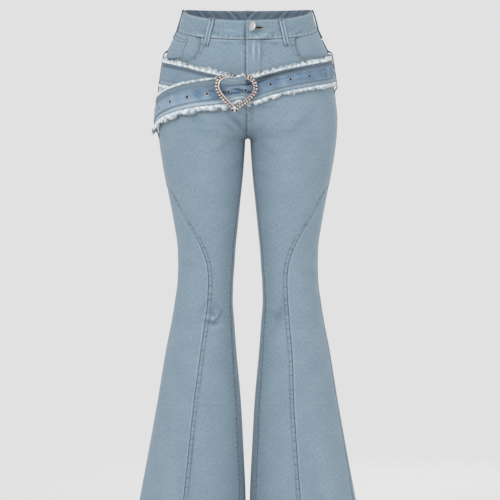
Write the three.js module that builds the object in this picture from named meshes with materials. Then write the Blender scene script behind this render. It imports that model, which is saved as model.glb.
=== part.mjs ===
// Flared jeans with their own frayed hip belt, worn shape, no wearer.
// Millimetres, +Z up, the front faces -Y. Left and right are the wearer's: left is +X.
// The origin is the middle of the waist, level with the front of the waistband's top edge.
import * as THREE from 'three';

// Driving dimensions of the cloth
const DENIM = 1.5;
const HEM_WALL = 3;
const HEM_DEPTH = 16;
const HEM_LEVEL = -1017;
const SEAM_GAP = 0.3;
const LAY_GAP = 0.6;
const CENTRE_GAP = 0.15;

// Driving dimensions of the waistband and its loops
const BAND_HEIGHT = 38;
const BAND_WALL = 2.4;
const BAND_PROUD = 0.8;
const LAP = 2.6;
const UNDERLAP = 26;
const FLY_WIDTH = 28;
const FLY_FOOT = -147;
const FLY_TURNS = 0.62;
const LOOP_WIDTH = 11;
const LOOP_LENGTH = 54;
const LOOP_TOP = 0.5;
const LOOP_BOW_ENDS = 0.7;
const LOOP_WALL = 2;
const BUTTON_RADIUS = 9.5;
const BUTTON_X = 9.3;
const BUTTON_LEVEL = -16;
const BUTTON_TURN = -50;
const STEM_RADIUS = 2.2;
const STEM_LENGTH = 4.8;

// Driving dimensions of the hip belt
const BELT_CLOTH = 46;
const BELT_WALL = 2.2;
const BELT_OFF = 2.4;
const TAIL_OFF = 5.2;
const STRIP_WIDTH = 22;
const STRIP_WALL = 0.8;
const STRIP_OFF = LAY_GAP + STRIP_WALL;
const FRINGE_ROOT = 3;
const FRINGE_LENGTH = 9;
const FRINGE_WALL = 0.9;
const EYELET_RADIUS = 3.8;
const EYELET_HOLE = 1.9;
const EYELET_HEIGHT = 1.2;
const EYELET_PITCH = 41;
const TAIL_FIRST_EYELET = -1.8;
const TAIL_FIRST_LIFT = 1;
const BELT_FIRST_EYELET = 14.3;
const HEART_WIDTH = 80;
const HEART_HEIGHT = 70;
const HEART_RIM = 3.4;

// Level sections: half width to the outside, the gap's edge between the legs (above the crotch
// the same oval runs on past the middle, so the number is negative), depth in front and behind.
const SECTIONS = [
  { z: 40, outer: 121, inner: -121, front: 86, back: 82 },
  { z: 14, outer: 126.5, inner: -126.5, front: 87, back: 83 },
  { z: 0, outer: 130.5, inner: -130.5, front: 89, back: 85 },
  { z: -32, outer: 144.8, inner: -144.8, front: 96, back: 96 },
  { z: -63, outer: 158, inner: -158, front: 101, back: 105 },
  { z: -100, outer: 164, inner: -160, front: 104, back: 114 },
  { z: -149, outer: 170.5, inner: -104, front: 106, back: 125 },
  { z: -188, outer: 174, inner: -50, front: 104, back: 130 },
  { z: -222, outer: 172.2, inner: 0, front: 98, back: 119 },
  { z: -226, outer: 171.8, inner: 5.6, front: 97.5, back: 117 },
  { z: -246, outer: 169.3, inner: 6.6, front: 94, back: 108 },
  { z: -285, outer: 163.2, inner: 8.8, front: 88.5, back: 98 },
  { z: -344, outer: 151.6, inner: 14.6, front: 82, back: 86 },
  { z: -391, outer: 143, inner: 19.2, front: 75, back: 76 },
  { z: -441, outer: 136.2, inner: 24.2, front: 67.5, back: 66 },
  { z: -471, outer: 135.7, inner: 26, front: 64, back: 62.5 },
  { z: -500, outer: 136.6, inner: 28.2, front: 63, back: 62.5 },
  { z: -539, outer: 141.6, inner: 29.3, front: 64, back: 66 },
  { z: -580, outer: 148.4, inner: 26.4, front: 67, back: 70 },
  { z: -636, outer: 159.4, inner: 22.4, front: 72, back: 76 },
  { z: -734, outer: 175.5, inner: 13.7, front: 80, back: 85 },
  { z: -831, outer: 193.2, inner: 8.4, front: 88, back: 94 },
  { z: -927, outer: 211, inner: 4.2, front: 95, back: 101 },
  { z: -1040, outer: 231, inner: 3.4, front: 101, back: 108 },
];

// How far the waist rises above its front, by the angle round the body from the front
const WAIST_RISE = [
  { angle: -180, rise: 32 },
  { angle: -90, rise: 26.5 },
  { angle: -55, rise: 12.2 },
  { angle: -30, rise: 4 },
  { angle: 0, rise: 0 },
  { angle: 30, rise: 4 },
  { angle: 55, rise: 12.2 },
  { angle: 90, rise: 26.5 },
  { angle: 120, rise: 30.5 },
  { angle: 180, rise: 32 },
  { angle: 240, rise: 30.5 },
];
const RISE_ENDS = -160;

// Seams by the angle round each leg: 0 is its front, 90 its outer side, -90 its inner side
const FLARE_SEAM = [
  { z: -300, right: 120, left: 120 },
  { z: -314, right: 94, left: 91 },
  { z: -322, right: 76, left: 76 },
  { z: -334, right: 64, left: 64 },
  { z: -360, right: 50, left: 50 },
  { z: -391, right: 34, left: 34 },
  { z: -418, right: 18, left: 18 },
  { z: -445, right: 5.5, left: 5.5 },
  { z: -471, right: -3, left: -3 },
  { z: -500, right: -7.2, left: -7.2 },
  { z: -539, right: -8.6, left: -8.6 },
  { z: -580, right: -5, left: -7 },
  { z: -656, right: 0.8, left: -4.6 },
  { z: -734, right: 6, left: -4.4 },
  { z: -831, right: 8, left: -4 },
  { z: -1040, right: 10, left: -2 },
];
const SIDE_SEAM = [
  { z: 0, right: 92, left: 92 },
  { z: -222, right: 94, left: 91 },
  { z: -441, right: 95, left: 85 },
  { z: -563, right: 95, left: 77 },
  { z: -734, right: 95, left: 75 },
  { z: -1040, right: 95, left: 65 },
];
const INNER_SEAM = [
  { z: -222, angle: -90 },
  { z: -246, angle: -84 },
  { z: -300, angle: -76 },
  { z: -391, angle: -68 },
  { z: -539, angle: -66 },
  { z: -734, angle: -62 },
  { z: -1040, angle: -64 },
];

// The scoop of the front pocket: the angle of its mouth at each level
const SCOOP = [
  { z: -38, angle: 38.5 },
  { z: -56, angle: 36.6 },
  { z: -69, angle: 37.4 },
  { z: -79, angle: 42.5 },
  { z: -86, angle: 51 },
  { z: -91, angle: 62 },
  { z: -95, angle: 76 },
  { z: -98, angle: 94 },
  { z: -104, angle: 110 },
];
const SCOOP_FOOT = -98;
const FACING_INSET = 3.4;
const FACING_FOOT = -116;

// The broad folds: where each lies, how far it reaches along and across, and how deep it is
const FOLDS = [
  { side: 0, z: -300, angle: 168, high: 16, wide: 30, depth: -3.5 },
  { side: 0, z: -330, angle: 178, high: 12, wide: 26, depth: 2.5 },
  { side: 0, z: -452, angle: 176, high: 13, wide: 34, depth: -3.5 },
  { side: 0, z: -486, angle: 184, high: 12, wide: 32, depth: 3 },
  { side: 0, z: -520, angle: 172, high: 14, wide: 30, depth: -3 },
  { side: -1, z: -548, angle: -34, high: 16, wide: 20, depth: -2.2 },
  { side: 1, z: -560, angle: -40, high: 18, wide: 18, depth: -1.8 },
];

// Panel rows from the band to the hem, close where a seam turns
const LEVELS = [
  -56, -69, -79, -86, -91, -95, -98, -116, -142, -166, -187, -203, -214, -219.5, -222, -226, -236,
  -260, -290, -314, -322, -334, -360, -391, -418, -445, -471, -500, -539, -580, -656, -734, -831,
  -927, HEM_LEVEL + HEM_DEPTH, HEM_LEVEL,
];
const BAND_FOOT = -BAND_HEIGHT;
const YOKE_SIDE = -78;
const YOKE_BACK = -112;

// The belt's middle line: height by the angle round the hips, minus on the wearer's right
const BELT_LINE = [
  { angle: -180, height: -76 },
  { angle: -135, height: -83 },
  { angle: -90, height: -96 },
  { angle: -68, height: -102 },
  { angle: -46, height: -112 },
  { angle: -28, height: -124 },
  { angle: -10, height: -134 },
  { angle: 0, height: -136 },
  { angle: 17, height: -124 },
  { angle: 28, height: -116 },
  { angle: 52, height: -104 },
  { angle: 90, height: -91 },
  { angle: 135, height: -80 },
  { angle: 180, height: -76 },
];
const TAIL_LINE = [
  { angle: -108, height: -198 },
  { angle: -98, height: -189 },
  { angle: -84, height: -175 },
  { angle: -70, height: -164 },
  { angle: -53, height: -154 },
  { angle: -40, height: -148 },
  { angle: -20, height: -141 },
  { angle: -8, height: -138 },
  { angle: 1, height: -136 },
  { angle: 10, height: -136 },
];
const BELT_STARTS = -10.5;
const STRIP_STARTS = -104;
const TAIL_STARTS = 0.9;
const TAIL_ENDS = -97;
const BAR_ANGLE = -8;
const MM_PER_DEGREE = 2.75;
const HEART_CENTRE = { x: -22.5, z: -141 };
const HEART_OFF = 13;
const NOTCH_DROP = 8;

// The two hip loops: levels of their ends, the heights between which they stand off, and how far
const HIP_LOOPS = [
  { side: 1, angle: 88, top: -57, foot: -137, leaves: -46, returns: -133, ease: 8, clear: 6.5 },
  { side: -1, angle: 88, top: -57, foot: -222, leaves: -46, returns: -221, ease: 13, clear: 5.9 },
];
// The strap's front edge leaves the hip over this height, and its back edge over half of it
const HIP_LOOP_RISE = 12;
// Under the belt the strap draws in again, behind the tail
const DRAWS_IN = -126;
const DRAWS_IN_OVER = 16;
const DRAWN_CLEAR = 2.9;
const HIP_LOOP_WIDTH = 10.4;

const DEGREE = Math.PI / 180;

// A smooth curve through a table's rows, with no overshoot between them
function curve(rows, from, to) {
  const sorted = [...rows].sort((a, b) => a[from] - b[from]);
  const x = sorted.map((row) => row[from]);
  const y = sorted.map((row) => row[to]);
  const slope = x.slice(1).map((value, i) => (y[i + 1] - y[i]) / (value - x[i]));
  const tangent = x.map((_, i) => {
    const before = slope[i - 1] ?? slope[0];
    const after = slope[i] ?? slope[slope.length - 1];
    return before * after <= 0 ? 0 : (2 * before * after) / (before + after);
  });
  return (at) => {
    if (at <= x[0]) return y[0];
    if (at >= x[x.length - 1]) return y[y.length - 1];
    const i = x.findIndex((value) => value > at) - 1;
    const run = x[i + 1] - x[i];
    const t = (at - x[i]) / run;
    const rise = y[i + 1] - y[i];
    const a = tangent[i] * run;
    const b = tangent[i + 1] * run;
    return y[i] + t * a + t * t * (3 * rise - 2 * a - b) + t * t * t * (a + b - 2 * rise);
  };
}

const outerAt = curve(SECTIONS, 'z', 'outer');
const innerAt = curve(SECTIONS, 'z', 'inner');
const frontAt = curve(SECTIONS, 'z', 'front');
const backAt = curve(SECTIONS, 'z', 'back');
const riseAt = curve(WAIST_RISE, 'angle', 'rise');
const innerSeamAt = curve(INNER_SEAM, 'z', 'angle');
const scoopAt = curve(SCOOP, 'z', 'angle');
const scoopFootAt = curve(SCOOP.slice(1), 'angle', 'z');
const flareSeam = { 1: curve(FLARE_SEAM, 'z', 'left'), '-1': curve(FLARE_SEAM, 'z', 'right') };
const sideSeam = { 1: curve(SIDE_SEAM, 'z', 'left'), '-1': curve(SIDE_SEAM, 'z', 'right') };

function smoothStep(t) {
  const s = Math.min(1, Math.max(0, t));
  return s * s * (3 - 2 * s);
}

function mix(a, b, t) {
  return a + (b - a) * t;
}

// The height of a level once the waist's rise is added
function heightOf(level, angle) {
  return level + riseAt(angle) * smoothStep((level - RISE_ENDS) / (BAND_FOOT - RISE_ENDS));
}

function foldDepth(side, angle, z) {
  let depth = 0;
  for (const fold of FOLDS) {
    if (fold.side !== 0 && fold.side !== side) continue;
    const up = (z - fold.z) / fold.high;
    const round = (angle - fold.angle) / fold.wide;
    depth += fold.depth * Math.exp(-up * up - round * round);
  }
  return depth;
}

// A point on the outside of the jeans, by side, angle round the leg and level
function bodySurface(side, angle, level) {
  const z = heightOf(level, angle);
  const centre = (outerAt(z) + innerAt(z)) / 2;
  const half = (outerAt(z) - innerAt(z)) / 2;
  const fold = foldDepth(side, angle, z);
  const sine = Math.sin(angle * DEGREE);
  const cosine = Math.cos(angle * DEGREE);
  const depth = cosine > 0 ? frontAt(z) : backAt(z);
  return new THREE.Vector3(side * (centre + (half + fold) * sine), -(depth + fold) * cosine, z);
}

// The outward normal of a surface given by two parameters
function normalOf(surface, a, b, stepA, stepB, outward) {
  const along = surface(a + stepA, b).sub(surface(a - stepA, b));
  const up = surface(a, b + stepB).sub(surface(a, b - stepB));
  const normal = along.cross(up).normalize();
  return normal.dot(outward) < 0 ? normal.negate() : normal;
}

// A point of the jeans moved out along the normal, with that normal
function bodyPoint(side, angle, level, off = 0) {
  const surface = (a, b) => bodySurface(side, a, b);
  const outward = new THREE.Vector3(side * Math.sin(angle * DEGREE), -Math.cos(angle * DEGREE), 0);
  const normal = normalOf(surface, angle, level, 0.5, 0.5, outward);
  return { point: surface(angle, level).addScaledVector(normal, off), normal };
}

// The angle where a half's oval meets the middle plane, in front and behind
function middleAngle(level, behind) {
  const at = (angle) => {
    const z = heightOf(level, angle);
    const centre = (outerAt(z) + innerAt(z)) / 2;
    const half = (outerAt(z) - innerAt(z)) / 2;
    return Math.asin(Math.min(1, Math.max(-1, (centre - CENTRE_GAP) / half))) / DEGREE;
  };
  return behind ? 180 + at(180) : -at(0);
}

// The angle behind the leg at a given distance from the middle plane
function angleBehind(x, level) {
  const z = heightOf(level, 150);
  const centre = (outerAt(z) + innerAt(z)) / 2;
  const half = (outerAt(z) - innerAt(z)) / 2;
  return 180 - Math.asin((x - centre) / half) / DEGREE;
}

// The inner edge of a leg's panels: the rise above the crotch, the inner seam below it
function innerEdge(level, behind) {
  if (level > INNER_SEAM[0].z) return middleAngle(level, behind);
  return behind ? 360 + innerSeamAt(level) : innerSeamAt(level);
}

function material(color, roughness, metalness = 0) {
  return new THREE.MeshStandardMaterial({ color, roughness, metalness });
}

const denim = material(0x8fa3b2, 0.92);
const denimDark = material(0x778da5, 0.92);
const frayed = material(0xcdd6dc, 1);
const silver = material(0xc8c8ca, 0.3, 1);
const roseMetal = material(0xb89a90, 0.35, 1);

const group = new THREE.Group();

function addMesh(name, points, faces, finish) {
  const geometry = new THREE.BufferGeometry();
  const places = points.flatMap((p) => [p.x, p.y, p.z]);
  geometry.setAttribute('position', new THREE.Float32BufferAttribute(places, 3));
  geometry.setIndex(faces);
  geometry.computeVertexNormals();
  const mesh = new THREE.Mesh(geometry, finish);
  mesh.name = name;
  group.add(mesh);
}

// The signed volume of a closed mesh tells whether its faces point out
function signedVolume(points, faces) {
  let volume = 0;
  for (let i = 0; i < faces.length; i += 3) {
    const [a, b, c] = [points[faces[i]], points[faces[i + 1]], points[faces[i + 2]]];
    volume += a.dot(b.clone().cross(c)) / 6;
  }
  return volume;
}

// A closed cloth wall over a grid: place(column, row) gives the outer point, the normal and the
// wall there. The inner face is the same grid moved in, and a rim closes the four edges. Each
// cell is split along its shorter diagonal, so slanted cells stay on the surface.
function addWall(name, finish, columns, rows, place) {
  const across = columns + 1;
  const outer = [];
  const inner = [];
  for (let row = 0; row <= rows; row += 1) {
    for (let column = 0; column <= columns; column += 1) {
      const { point, normal, wall } = place(column, row);
      outer.push(point);
      inner.push(point.clone().addScaledVector(normal, -wall));
    }
  }
  const points = [...outer, ...inner];
  const size = outer.length;
  const faces = [];
  for (let row = 0; row < rows; row += 1) {
    for (let column = 0; column < columns; column += 1) {
      const a = row * across + column;
      const b = a + 1;
      const c = a + across;
      const d = c + 1;
      if (outer[a].distanceTo(outer[d]) < outer[b].distanceTo(outer[c])) {
        faces.push(a, b, d, a, d, c);
        faces.push(size + a, size + d, size + b, size + a, size + c, size + d);
      } else {
        faces.push(a, b, c, b, d, c);
        faces.push(size + a, size + c, size + b, size + b, size + c, size + d);
      }
    }
  }
  const rim = [];
  for (let column = 0; column < columns; column += 1) rim.push(column);
  for (let row = 0; row < rows; row += 1) rim.push(row * across + columns);
  for (let column = columns; column > 0; column -= 1) rim.push(rows * across + column);
  for (let row = rows; row > 0; row -= 1) rim.push(row * across);
  rim.forEach((a, i) => {
    const b = rim[(i + 1) % rim.length];
    faces.push(a, size + a, size + b, a, size + b, b);
  });
  if (signedVolume(points, faces) < 0) {
    for (let i = 0; i < faces.length; i += 3) [faces[i + 1], faces[i + 2]] = [faces[i + 2], faces[i + 1]];
  }
  addMesh(name, points, faces, finish);
}

function clothWall(level) {
  return level <= HEM_LEVEL + HEM_DEPTH ? HEM_WALL : DENIM;
}

// A leg panel between two edge angles, row by row; topAt may slant the top edge
function addPanel(name, side, columns, levels, fromAt, toAt, topAt) {
  addWall(name, denim, columns, levels.length - 1, (column, row) => {
    const t = column / columns;
    let level = levels[row];
    if (topAt) {
      const guess = mix(fromAt(level), toAt(level), t);
      const reach = smoothStep((level - LEVELS[9]) / (levels[0] - LEVELS[9]));
      level = level + (topAt(guess) - levels[0]) * reach;
    }
    const angle = mix(fromAt(level), toAt(level), t);
    const { point, normal } = bodyPoint(side, angle, level);
    return { point, normal, wall: clothWall(level) };
  });
}

// Half the seam gap as an angle, at the seam's own distance from the leg's middle
function gapAngle(level) {
  const half = (outerAt(level) - innerAt(level)) / 2;
  return SEAM_GAP / 2 / Math.min(half, frontAt(level)) / DEGREE;
}

function sideName(side) {
  return side > 0 ? 'left' : 'right';
}

function yokeSeam(angle) {
  return mix(YOKE_SIDE, YOKE_BACK, smoothStep((angle - 92) / 88) * 0.4 + ((angle - 92) / 88) * 0.6);
}

function addFront(side) {
  const levels = [BAND_FOOT - SEAM_GAP, ...LEVELS];
  const outerEdge = (level) => {
    if (level > SCOOP_FOOT) return Math.min(scoopAt(level), sideSeam[side](level) - gapAngle(level));
    return Math.min(flareSeam[side](level), sideSeam[side](level)) - gapAngle(level);
  };
  const inner = (level) => innerEdge(level, false) + (level > INNER_SEAM[0].z ? 0 : gapAngle(level));
  addPanel(`front_${sideName(side)}`, side, 8, levels, inner, outerEdge);
}

// The side panel runs up to a narrow point between the flare seam and the outseam. The flare
// seam is nearly level there, so its gap is widened, in degrees, above the foot of the point.
const SIDE_TOP = -315;
const TIP_FOOT = -330;
const TIP_GAP = 0.9;
const TIP_WIDTH = 0.8;

function addSide(side) {
  const levels = [SIDE_TOP, ...LEVELS.filter((level) => level <= -322)];
  const outer = (level) => sideSeam[side](level) - gapAngle(level);
  const inner = (level) => {
    const seam = flareSeam[side](level) + gapAngle(level) + (level > TIP_FOOT ? TIP_GAP : 0);
    return Math.min(seam, outer(level) - TIP_WIDTH);
  };
  addPanel(`side_${sideName(side)}`, side, 5, levels, inner, outer);
}

function addBack(side) {
  const levels = [YOKE_BACK - SEAM_GAP, ...LEVELS.filter((level) => level < -120)];
  const outer = (level) => sideSeam[side](level) + gapAngle(level);
  const inner = (level) => innerEdge(level, true) - (level > INNER_SEAM[0].z ? 0 : gapAngle(level));
  const top = (angle) => yokeSeam(Math.min(180, angle)) - SEAM_GAP;
  addPanel(`back_${sideName(side)}`, side, 9, levels, outer, inner, top);
}

function addYoke(side) {
  const rows = 3;
  const columns = 7;
  addWall(`yoke_${sideName(side)}`, denim, columns, rows, (column, row) => {
    const guess = mix(92, 180, column / columns);
    const level = mix(BAND_FOOT - SEAM_GAP, yokeSeam(guess) + SEAM_GAP / 2, row / rows);
    const from = sideSeam[side](level) + gapAngle(level);
    const angle = mix(from, middleAngle(level, true), column / columns);
    return { ...bodyPoint(side, angle, level), wall: DENIM };
  });
}

// The hip piece under the scoop: flush outside the mouth and set in behind the front panel
function facingOff(level, angle) {
  const round = (angle - scoopAt(level) - 1.5) / 8;
  const above = (level - scoopFootAt(angle) - 3) / 12;
  return mix(-FACING_INSET, 0, smoothStep(Math.min(round, above)));
}

function addFacing(side) {
  const levels = [BAND_FOOT - SEAM_GAP, -52, -66, -78, -86, -92, -97, FACING_FOOT];
  const columns = 11;
  addWall(`pocket_facing_${sideName(side)}`, denim, columns, levels.length - 1, (column, row) => {
    const level = levels[row];
    const to = sideSeam[side](level) - 1.6 * gapAngle(level);
    const angle = mix(29, to, column / columns);
    return { ...bodyPoint(side, angle, level, facingOff(level, angle)), wall: DENIM };
  });
}

// The small pocket lies on the facing, and its foot ends at the scoop
function addCoinPocket() {
  const columns = 5;
  const rows = 5;
  addWall('coin_pocket', denim, columns, rows, (column, row) => {
    const t = column / columns;
    const angle = mix(53, 82, t);
    const top = mix(-44, -42, t);
    const foot = mix(-78, -88, t);
    const level = mix(top, foot, row / rows);
    const off = facingOff(level, angle) + LAY_GAP + 1.2;
    return { ...bodyPoint(-1, angle, level, off), wall: 1 };
  });
}

// Plain patch pocket: straight sides that close in a little, and a pointed foot
function addBackPocket(side) {
  const columns = 6;
  const rows = 7;
  const middle = 84;
  const top = -126;
  const sideLength = 110;
  const point = 24;
  addWall(`back_pocket_${sideName(side)}`, denim, columns, rows, (column, row) => {
    const across = mix(-1, 1, column / columns);
    const length = sideLength + point * (1 - Math.abs(across));
    const down = row / rows;
    const x = middle + across * mix(52, 45, down);
    const level = top - length * down - 4 * across;
    return { ...bodyPoint(side, angleBehind(x, level), level, LAY_GAP + 2), wall: 1.2 };
  });
}

// The fly's upper flap: straight at the middle, rounded into the seam at its foot
function addFly() {
  const columns = 4;
  const rows = 10;
  addWall('fly', denim, columns, rows, (column, row) => {
    const down = row / rows;
    const level = mix(BAND_FOOT - SEAM_GAP, FLY_FOOT, down);
    const round = Math.max(0, (down - FLY_TURNS) / (1 - FLY_TURNS));
    const width = FLY_WIDTH * Math.sqrt(Math.max(0.03, 1 - round * round));
    const x = mix(-LAP, width - LAP, column / columns);
    const half = (outerAt(level) - innerAt(level)) / 2;
    const centre = (outerAt(level) + innerAt(level)) / 2;
    const side = x < 0 ? -1 : 1;
    const angle = Math.asin((Math.abs(x) - centre) / half) / DEGREE;
    const wall = mix(1.2, 0.6, column / columns);
    return { ...bodyPoint(side, angle, level, LAY_GAP + wall), wall };
  });
}

// Waistband halves: the left one laps over the right one's end at the front
function addBand(side) {
  const columns = side > 0 ? 19 : 17;
  const rows = 2;
  const half = outerAt(0);
  const start = Math.asin((side > 0 ? LAP : UNDERLAP) / half) / DEGREE;
  const lapEnds = Math.asin((UNDERLAP + 4) / half) / DEGREE;
  addWall(`waistband_${sideName(side)}`, denim, columns, rows, (column, row) => {
    const angle = mix(-start, middleAngle(BAND_FOOT, true), (column / columns) ** 1.15);
    const level = mix(0, BAND_FOOT, row / rows);
    const lap = side > 0 ? smoothStep((lapEnds + 9 - angle) / 9) : 0;
    const off = BAND_PROUD + lap * (BAND_WALL + LAY_GAP);
    return { ...bodyPoint(side, angle, level, off), wall: BAND_WALL };
  });
}

// The angle that a width in millimetres takes up at a place on the jeans
function angleFor(width, side, angle, level) {
  const step = bodySurface(side, angle + 0.5, level).distanceTo(bodySurface(side, angle - 0.5, level));
  return width / step;
}

// A belt loop: tacked at both ends, bowed out above the band's foot
function addLoop(name, side, angle, bow) {
  const rows = 10;
  const columns = 2;
  addWall(name, denim, columns, rows, (column, row) => {
    const down = row / rows;
    const level = LOOP_TOP - LOOP_LENGTH * down;
    const seat = mix(BAND_PROUD, 0, smoothStep((BAND_FOOT + 6 - level) / 10));
    const bowed = Math.sin(Math.PI * Math.min(1, down / LOOP_BOW_ENDS));
    const round = mix(-0.5, 0.5, column / columns) * angleFor(LOOP_WIDTH, side, angle, level);
    const off = seat + LAY_GAP + LOOP_WALL + bow * bowed;
    return { ...bodyPoint(side, angle + round, level, off), wall: LOOP_WALL };
  });
}

// The button leans on its stem, as the pull of the buttonhole turns it: its near rim meets the band
function addButton() {
  const { point, normal } = bodyPoint(1, Math.asin(BUTTON_X / outerAt(0)) / DEGREE, BUTTON_LEVEL);
  const turned = normal.clone().applyAxisAngle(new THREE.Vector3(0, 0, 1), BUTTON_TURN * DEGREE);
  const lean = BUTTON_RADIUS * Math.sin(Math.abs(BUTTON_TURN) * DEGREE);
  const face = BAND_PROUD + BAND_WALL + LAY_GAP + SEAM_GAP + lean - 1.8;
  const profile = [
    new THREE.Vector2(0, -STEM_LENGTH),
    new THREE.Vector2(STEM_RADIUS, -STEM_LENGTH),
    new THREE.Vector2(STEM_RADIUS, 1.6),
    new THREE.Vector2(BUTTON_RADIUS - 1, 1.8),
    new THREE.Vector2(BUTTON_RADIUS, 2.8),
    new THREE.Vector2(BUTTON_RADIUS - 0.6, 3.9),
    new THREE.Vector2(BUTTON_RADIUS - 2.4, 4.1),
    new THREE.Vector2(BUTTON_RADIUS - 3.4, 3.5),
    new THREE.Vector2(0, 3.7),
  ];
  const geometry = new THREE.LatheGeometry(profile, 20);
  const button = new THREE.Mesh(geometry, silver);
  button.name = 'button';
  button.quaternion.setFromUnitVectors(new THREE.Vector3(0, 1, 0), turned);
  button.position.copy(point.addScaledVector(normal, face));
  group.add(button);
}

// The belt spans the hips: the body's ovals, with a straight run across the hollow between them
function hipSurface(angle, z) {
  const centre = (outerAt(z) + innerAt(z)) / 2;
  const half = (outerAt(z) - innerAt(z)) / 2;
  const flat = (90 * centre) / (centre + 1.3 * half);
  const side = angle < 0 ? -1 : 1;
  const turn = Math.abs(angle);
  const behind = turn > 90;
  const fromMiddle = behind ? 180 - turn : turn;
  const depth = behind ? backAt(z) : frontAt(z);
  const across = fromMiddle < flat ? (centre * fromMiddle) / Math.max(flat, 0.001) : centre;
  const round = fromMiddle < flat ? 0 : ((fromMiddle - flat) * 90) / (90 - flat);
  const x = side * (across + half * Math.sin(round * DEGREE));
  const y = depth * Math.cos(round * DEGREE) * (behind ? 1 : -1);
  return new THREE.Vector3(x, y, z);
}

const beltHeight = curve(BELT_LINE, 'angle', 'height');
const tailHeight = curve(TAIL_LINE, 'angle', 'height');

function beltOff() {
  return BELT_OFF;
}

// The tail starts at the belt's own depth, climbs over the bar and lies on the belt's first run
function tailOff(angle) {
  const overBar = smoothStep((TAIL_STARTS - angle) / 7);
  const overLoop = smoothStep((-angle - 45) / 30);
  return BELT_OFF + overBar * 3.9 + overLoop * (TAIL_OFF - BELT_OFF - 3.9);
}

// The cloth is drawn together where it passes the buckle
function pinch(angle) {
  const away = (angle - BAR_ANGLE) / 6;
  return 1 - 0.24 * Math.exp(-away * away);
}

// A belt point by the angle along it, the distance across it and the distance off the jeans
function ribbonPoint(height, angle, across, off) {
  const slope = (height(angle + 1) - height(angle - 1)) / 2 / MM_PER_DEGREE;
  const tilt = 1 / Math.sqrt(1 + slope * slope);
  const round = angle - (across * slope * tilt) / MM_PER_DEGREE;
  const z = height(angle) + across * tilt;
  const wrapped = round > 180 ? round - 360 : round < -180 ? round + 360 : round;
  const outward = new THREE.Vector3(Math.sin(wrapped * DEGREE), -Math.cos(wrapped * DEGREE), 0);
  const normal = normalOf(hipSurface, wrapped, z, 1.5, 3, outward);
  return { point: hipSurface(wrapped, z).addScaledVector(normal, off), normal };
}

const BELT = { height: beltHeight, from: BELT_STARTS, to: TAIL_STARTS + 0.75 - 360, steps: 62, off: beltOff };
const TAIL = { height: tailHeight, from: TAIL_STARTS, to: TAIL_ENDS, steps: 22, off: tailOff };

// Both ribbons run towards the wearer's right first; the belt goes on round the back to the front
function turnOf(angle) {
  return angle < -180 ? angle + 360 : angle;
}

function onRibbon(ribbon, angle, across, above) {
  const height = (a) => ribbon.height(turnOf(a));
  const off = ribbon.off(angle) + BELT_WALL + above;
  return ribbonPoint(height, angle, across * pinch(turnOf(angle)), off);
}

function addRibbon(ribbon, name, finish, from, to, halfWidth, above, wall, columns) {
  const steps = Math.round((ribbon.steps * Math.abs(to - from)) / Math.abs(ribbon.to - ribbon.from));
  addWall(name, finish, steps, columns, (column, row) => {
    const angle = mix(from, to, column / steps);
    const across = mix(halfWidth, -halfWidth, row / columns);
    return { ...onRibbon(ribbon, angle, across, above), wall };
  });
}

// A steady pseudo-random number between 0 and 1
function scatter(seed) {
  const value = Math.sin(seed * 12.9898) * 43758.5453;
  return value - Math.floor(value);
}

// Frayed edge: a narrow root strip along the cloth's edge, with pointed locks that stand apart
function addFringe(ribbon, name, from, to, edge, locks) {
  const columns = locks * 2;
  addWall(name, frayed, columns, 2, (column, row) => {
    const angle = mix(from, to, column / columns);
    const lock = column % 2 === 1;
    const length = lock ? FRINGE_LENGTH * (0.75 + 0.5 * scatter(column + edge)) : FRINGE_ROOT;
    const reach = [0, lock ? FRINGE_ROOT + 0.6 : FRINGE_ROOT - 1, length][row];
    const across = edge * (BELT_CLOTH / 2 + SEAM_GAP / pinch(0) + reach);
    const above = -0.6 + (lock && row === 2 ? 1.6 * scatter(column + 7) : 0);
    return { ...onRibbon(ribbon, angle, across, above), wall: FRINGE_WALL };
  });
}

// Eyelets: a ring on the strip, stood on its normal
function addEyelet(name, ribbon, angle, lift = 0) {
  const { point, normal } = onRibbon(ribbon, angle, 0, STRIP_OFF + SEAM_GAP + lift);
  const profile = [
    new THREE.Vector2(EYELET_HOLE, 0),
    new THREE.Vector2(EYELET_RADIUS, 0),
    new THREE.Vector2(EYELET_RADIUS - 0.6, EYELET_HEIGHT),
    new THREE.Vector2(EYELET_HOLE + 0.2, EYELET_HEIGHT * 0.8),
    new THREE.Vector2(EYELET_HOLE, 0),
  ];
  const eyelet = new THREE.Mesh(new THREE.LatheGeometry(profile, 10), silver);
  eyelet.name = name;
  eyelet.quaternion.setFromUnitVectors(new THREE.Vector3(0, 1, 0), normal);
  eyelet.position.copy(point);
  group.add(eyelet);
}

// Angles along a ribbon at an even pitch of arc, from a first angle
function evenAngles(ribbon, first, last, pitch) {
  const angles = [first];
  const way = Math.sign(last - first);
  let travelled = 0;
  let before = onRibbon(ribbon, first, 0, 0).point;
  for (let angle = first + way * 0.25; way * angle < way * last; angle += way * 0.25) {
    const here = onRibbon(ribbon, angle, 0, 0).point;
    travelled += here.distanceTo(before);
    before = here;
    if (travelled >= pitch) {
      angles.push(angle);
      travelled -= pitch;
    }
  }
  return angles;
}

// The heart's outline: two round lobes, straight flanks and a point
function heartOutline(points) {
  const shape = new THREE.Shape();
  const w = HEART_WIDTH / 2 - HEART_RIM;
  const top = HEART_HEIGHT / 2 - HEART_RIM;
  shape.moveTo(0, top - NOTCH_DROP);
  shape.bezierCurveTo(w * 0.12, top + 1.5, w * 0.98, top + 5, w, top * 0.36);
  shape.bezierCurveTo(w * 1.02, -top * 0.1, w * 0.45, -top * 0.5, 0, -top);
  shape.bezierCurveTo(-w * 0.45, -top * 0.5, -w * 1.02, -top * 0.1, -w, top * 0.36);
  shape.bezierCurveTo(-w * 0.98, top + 5, -w * 0.12, top + 1.5, 0, top - NOTCH_DROP);
  return shape.getSpacedPoints(points).slice(0, points);
}

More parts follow.
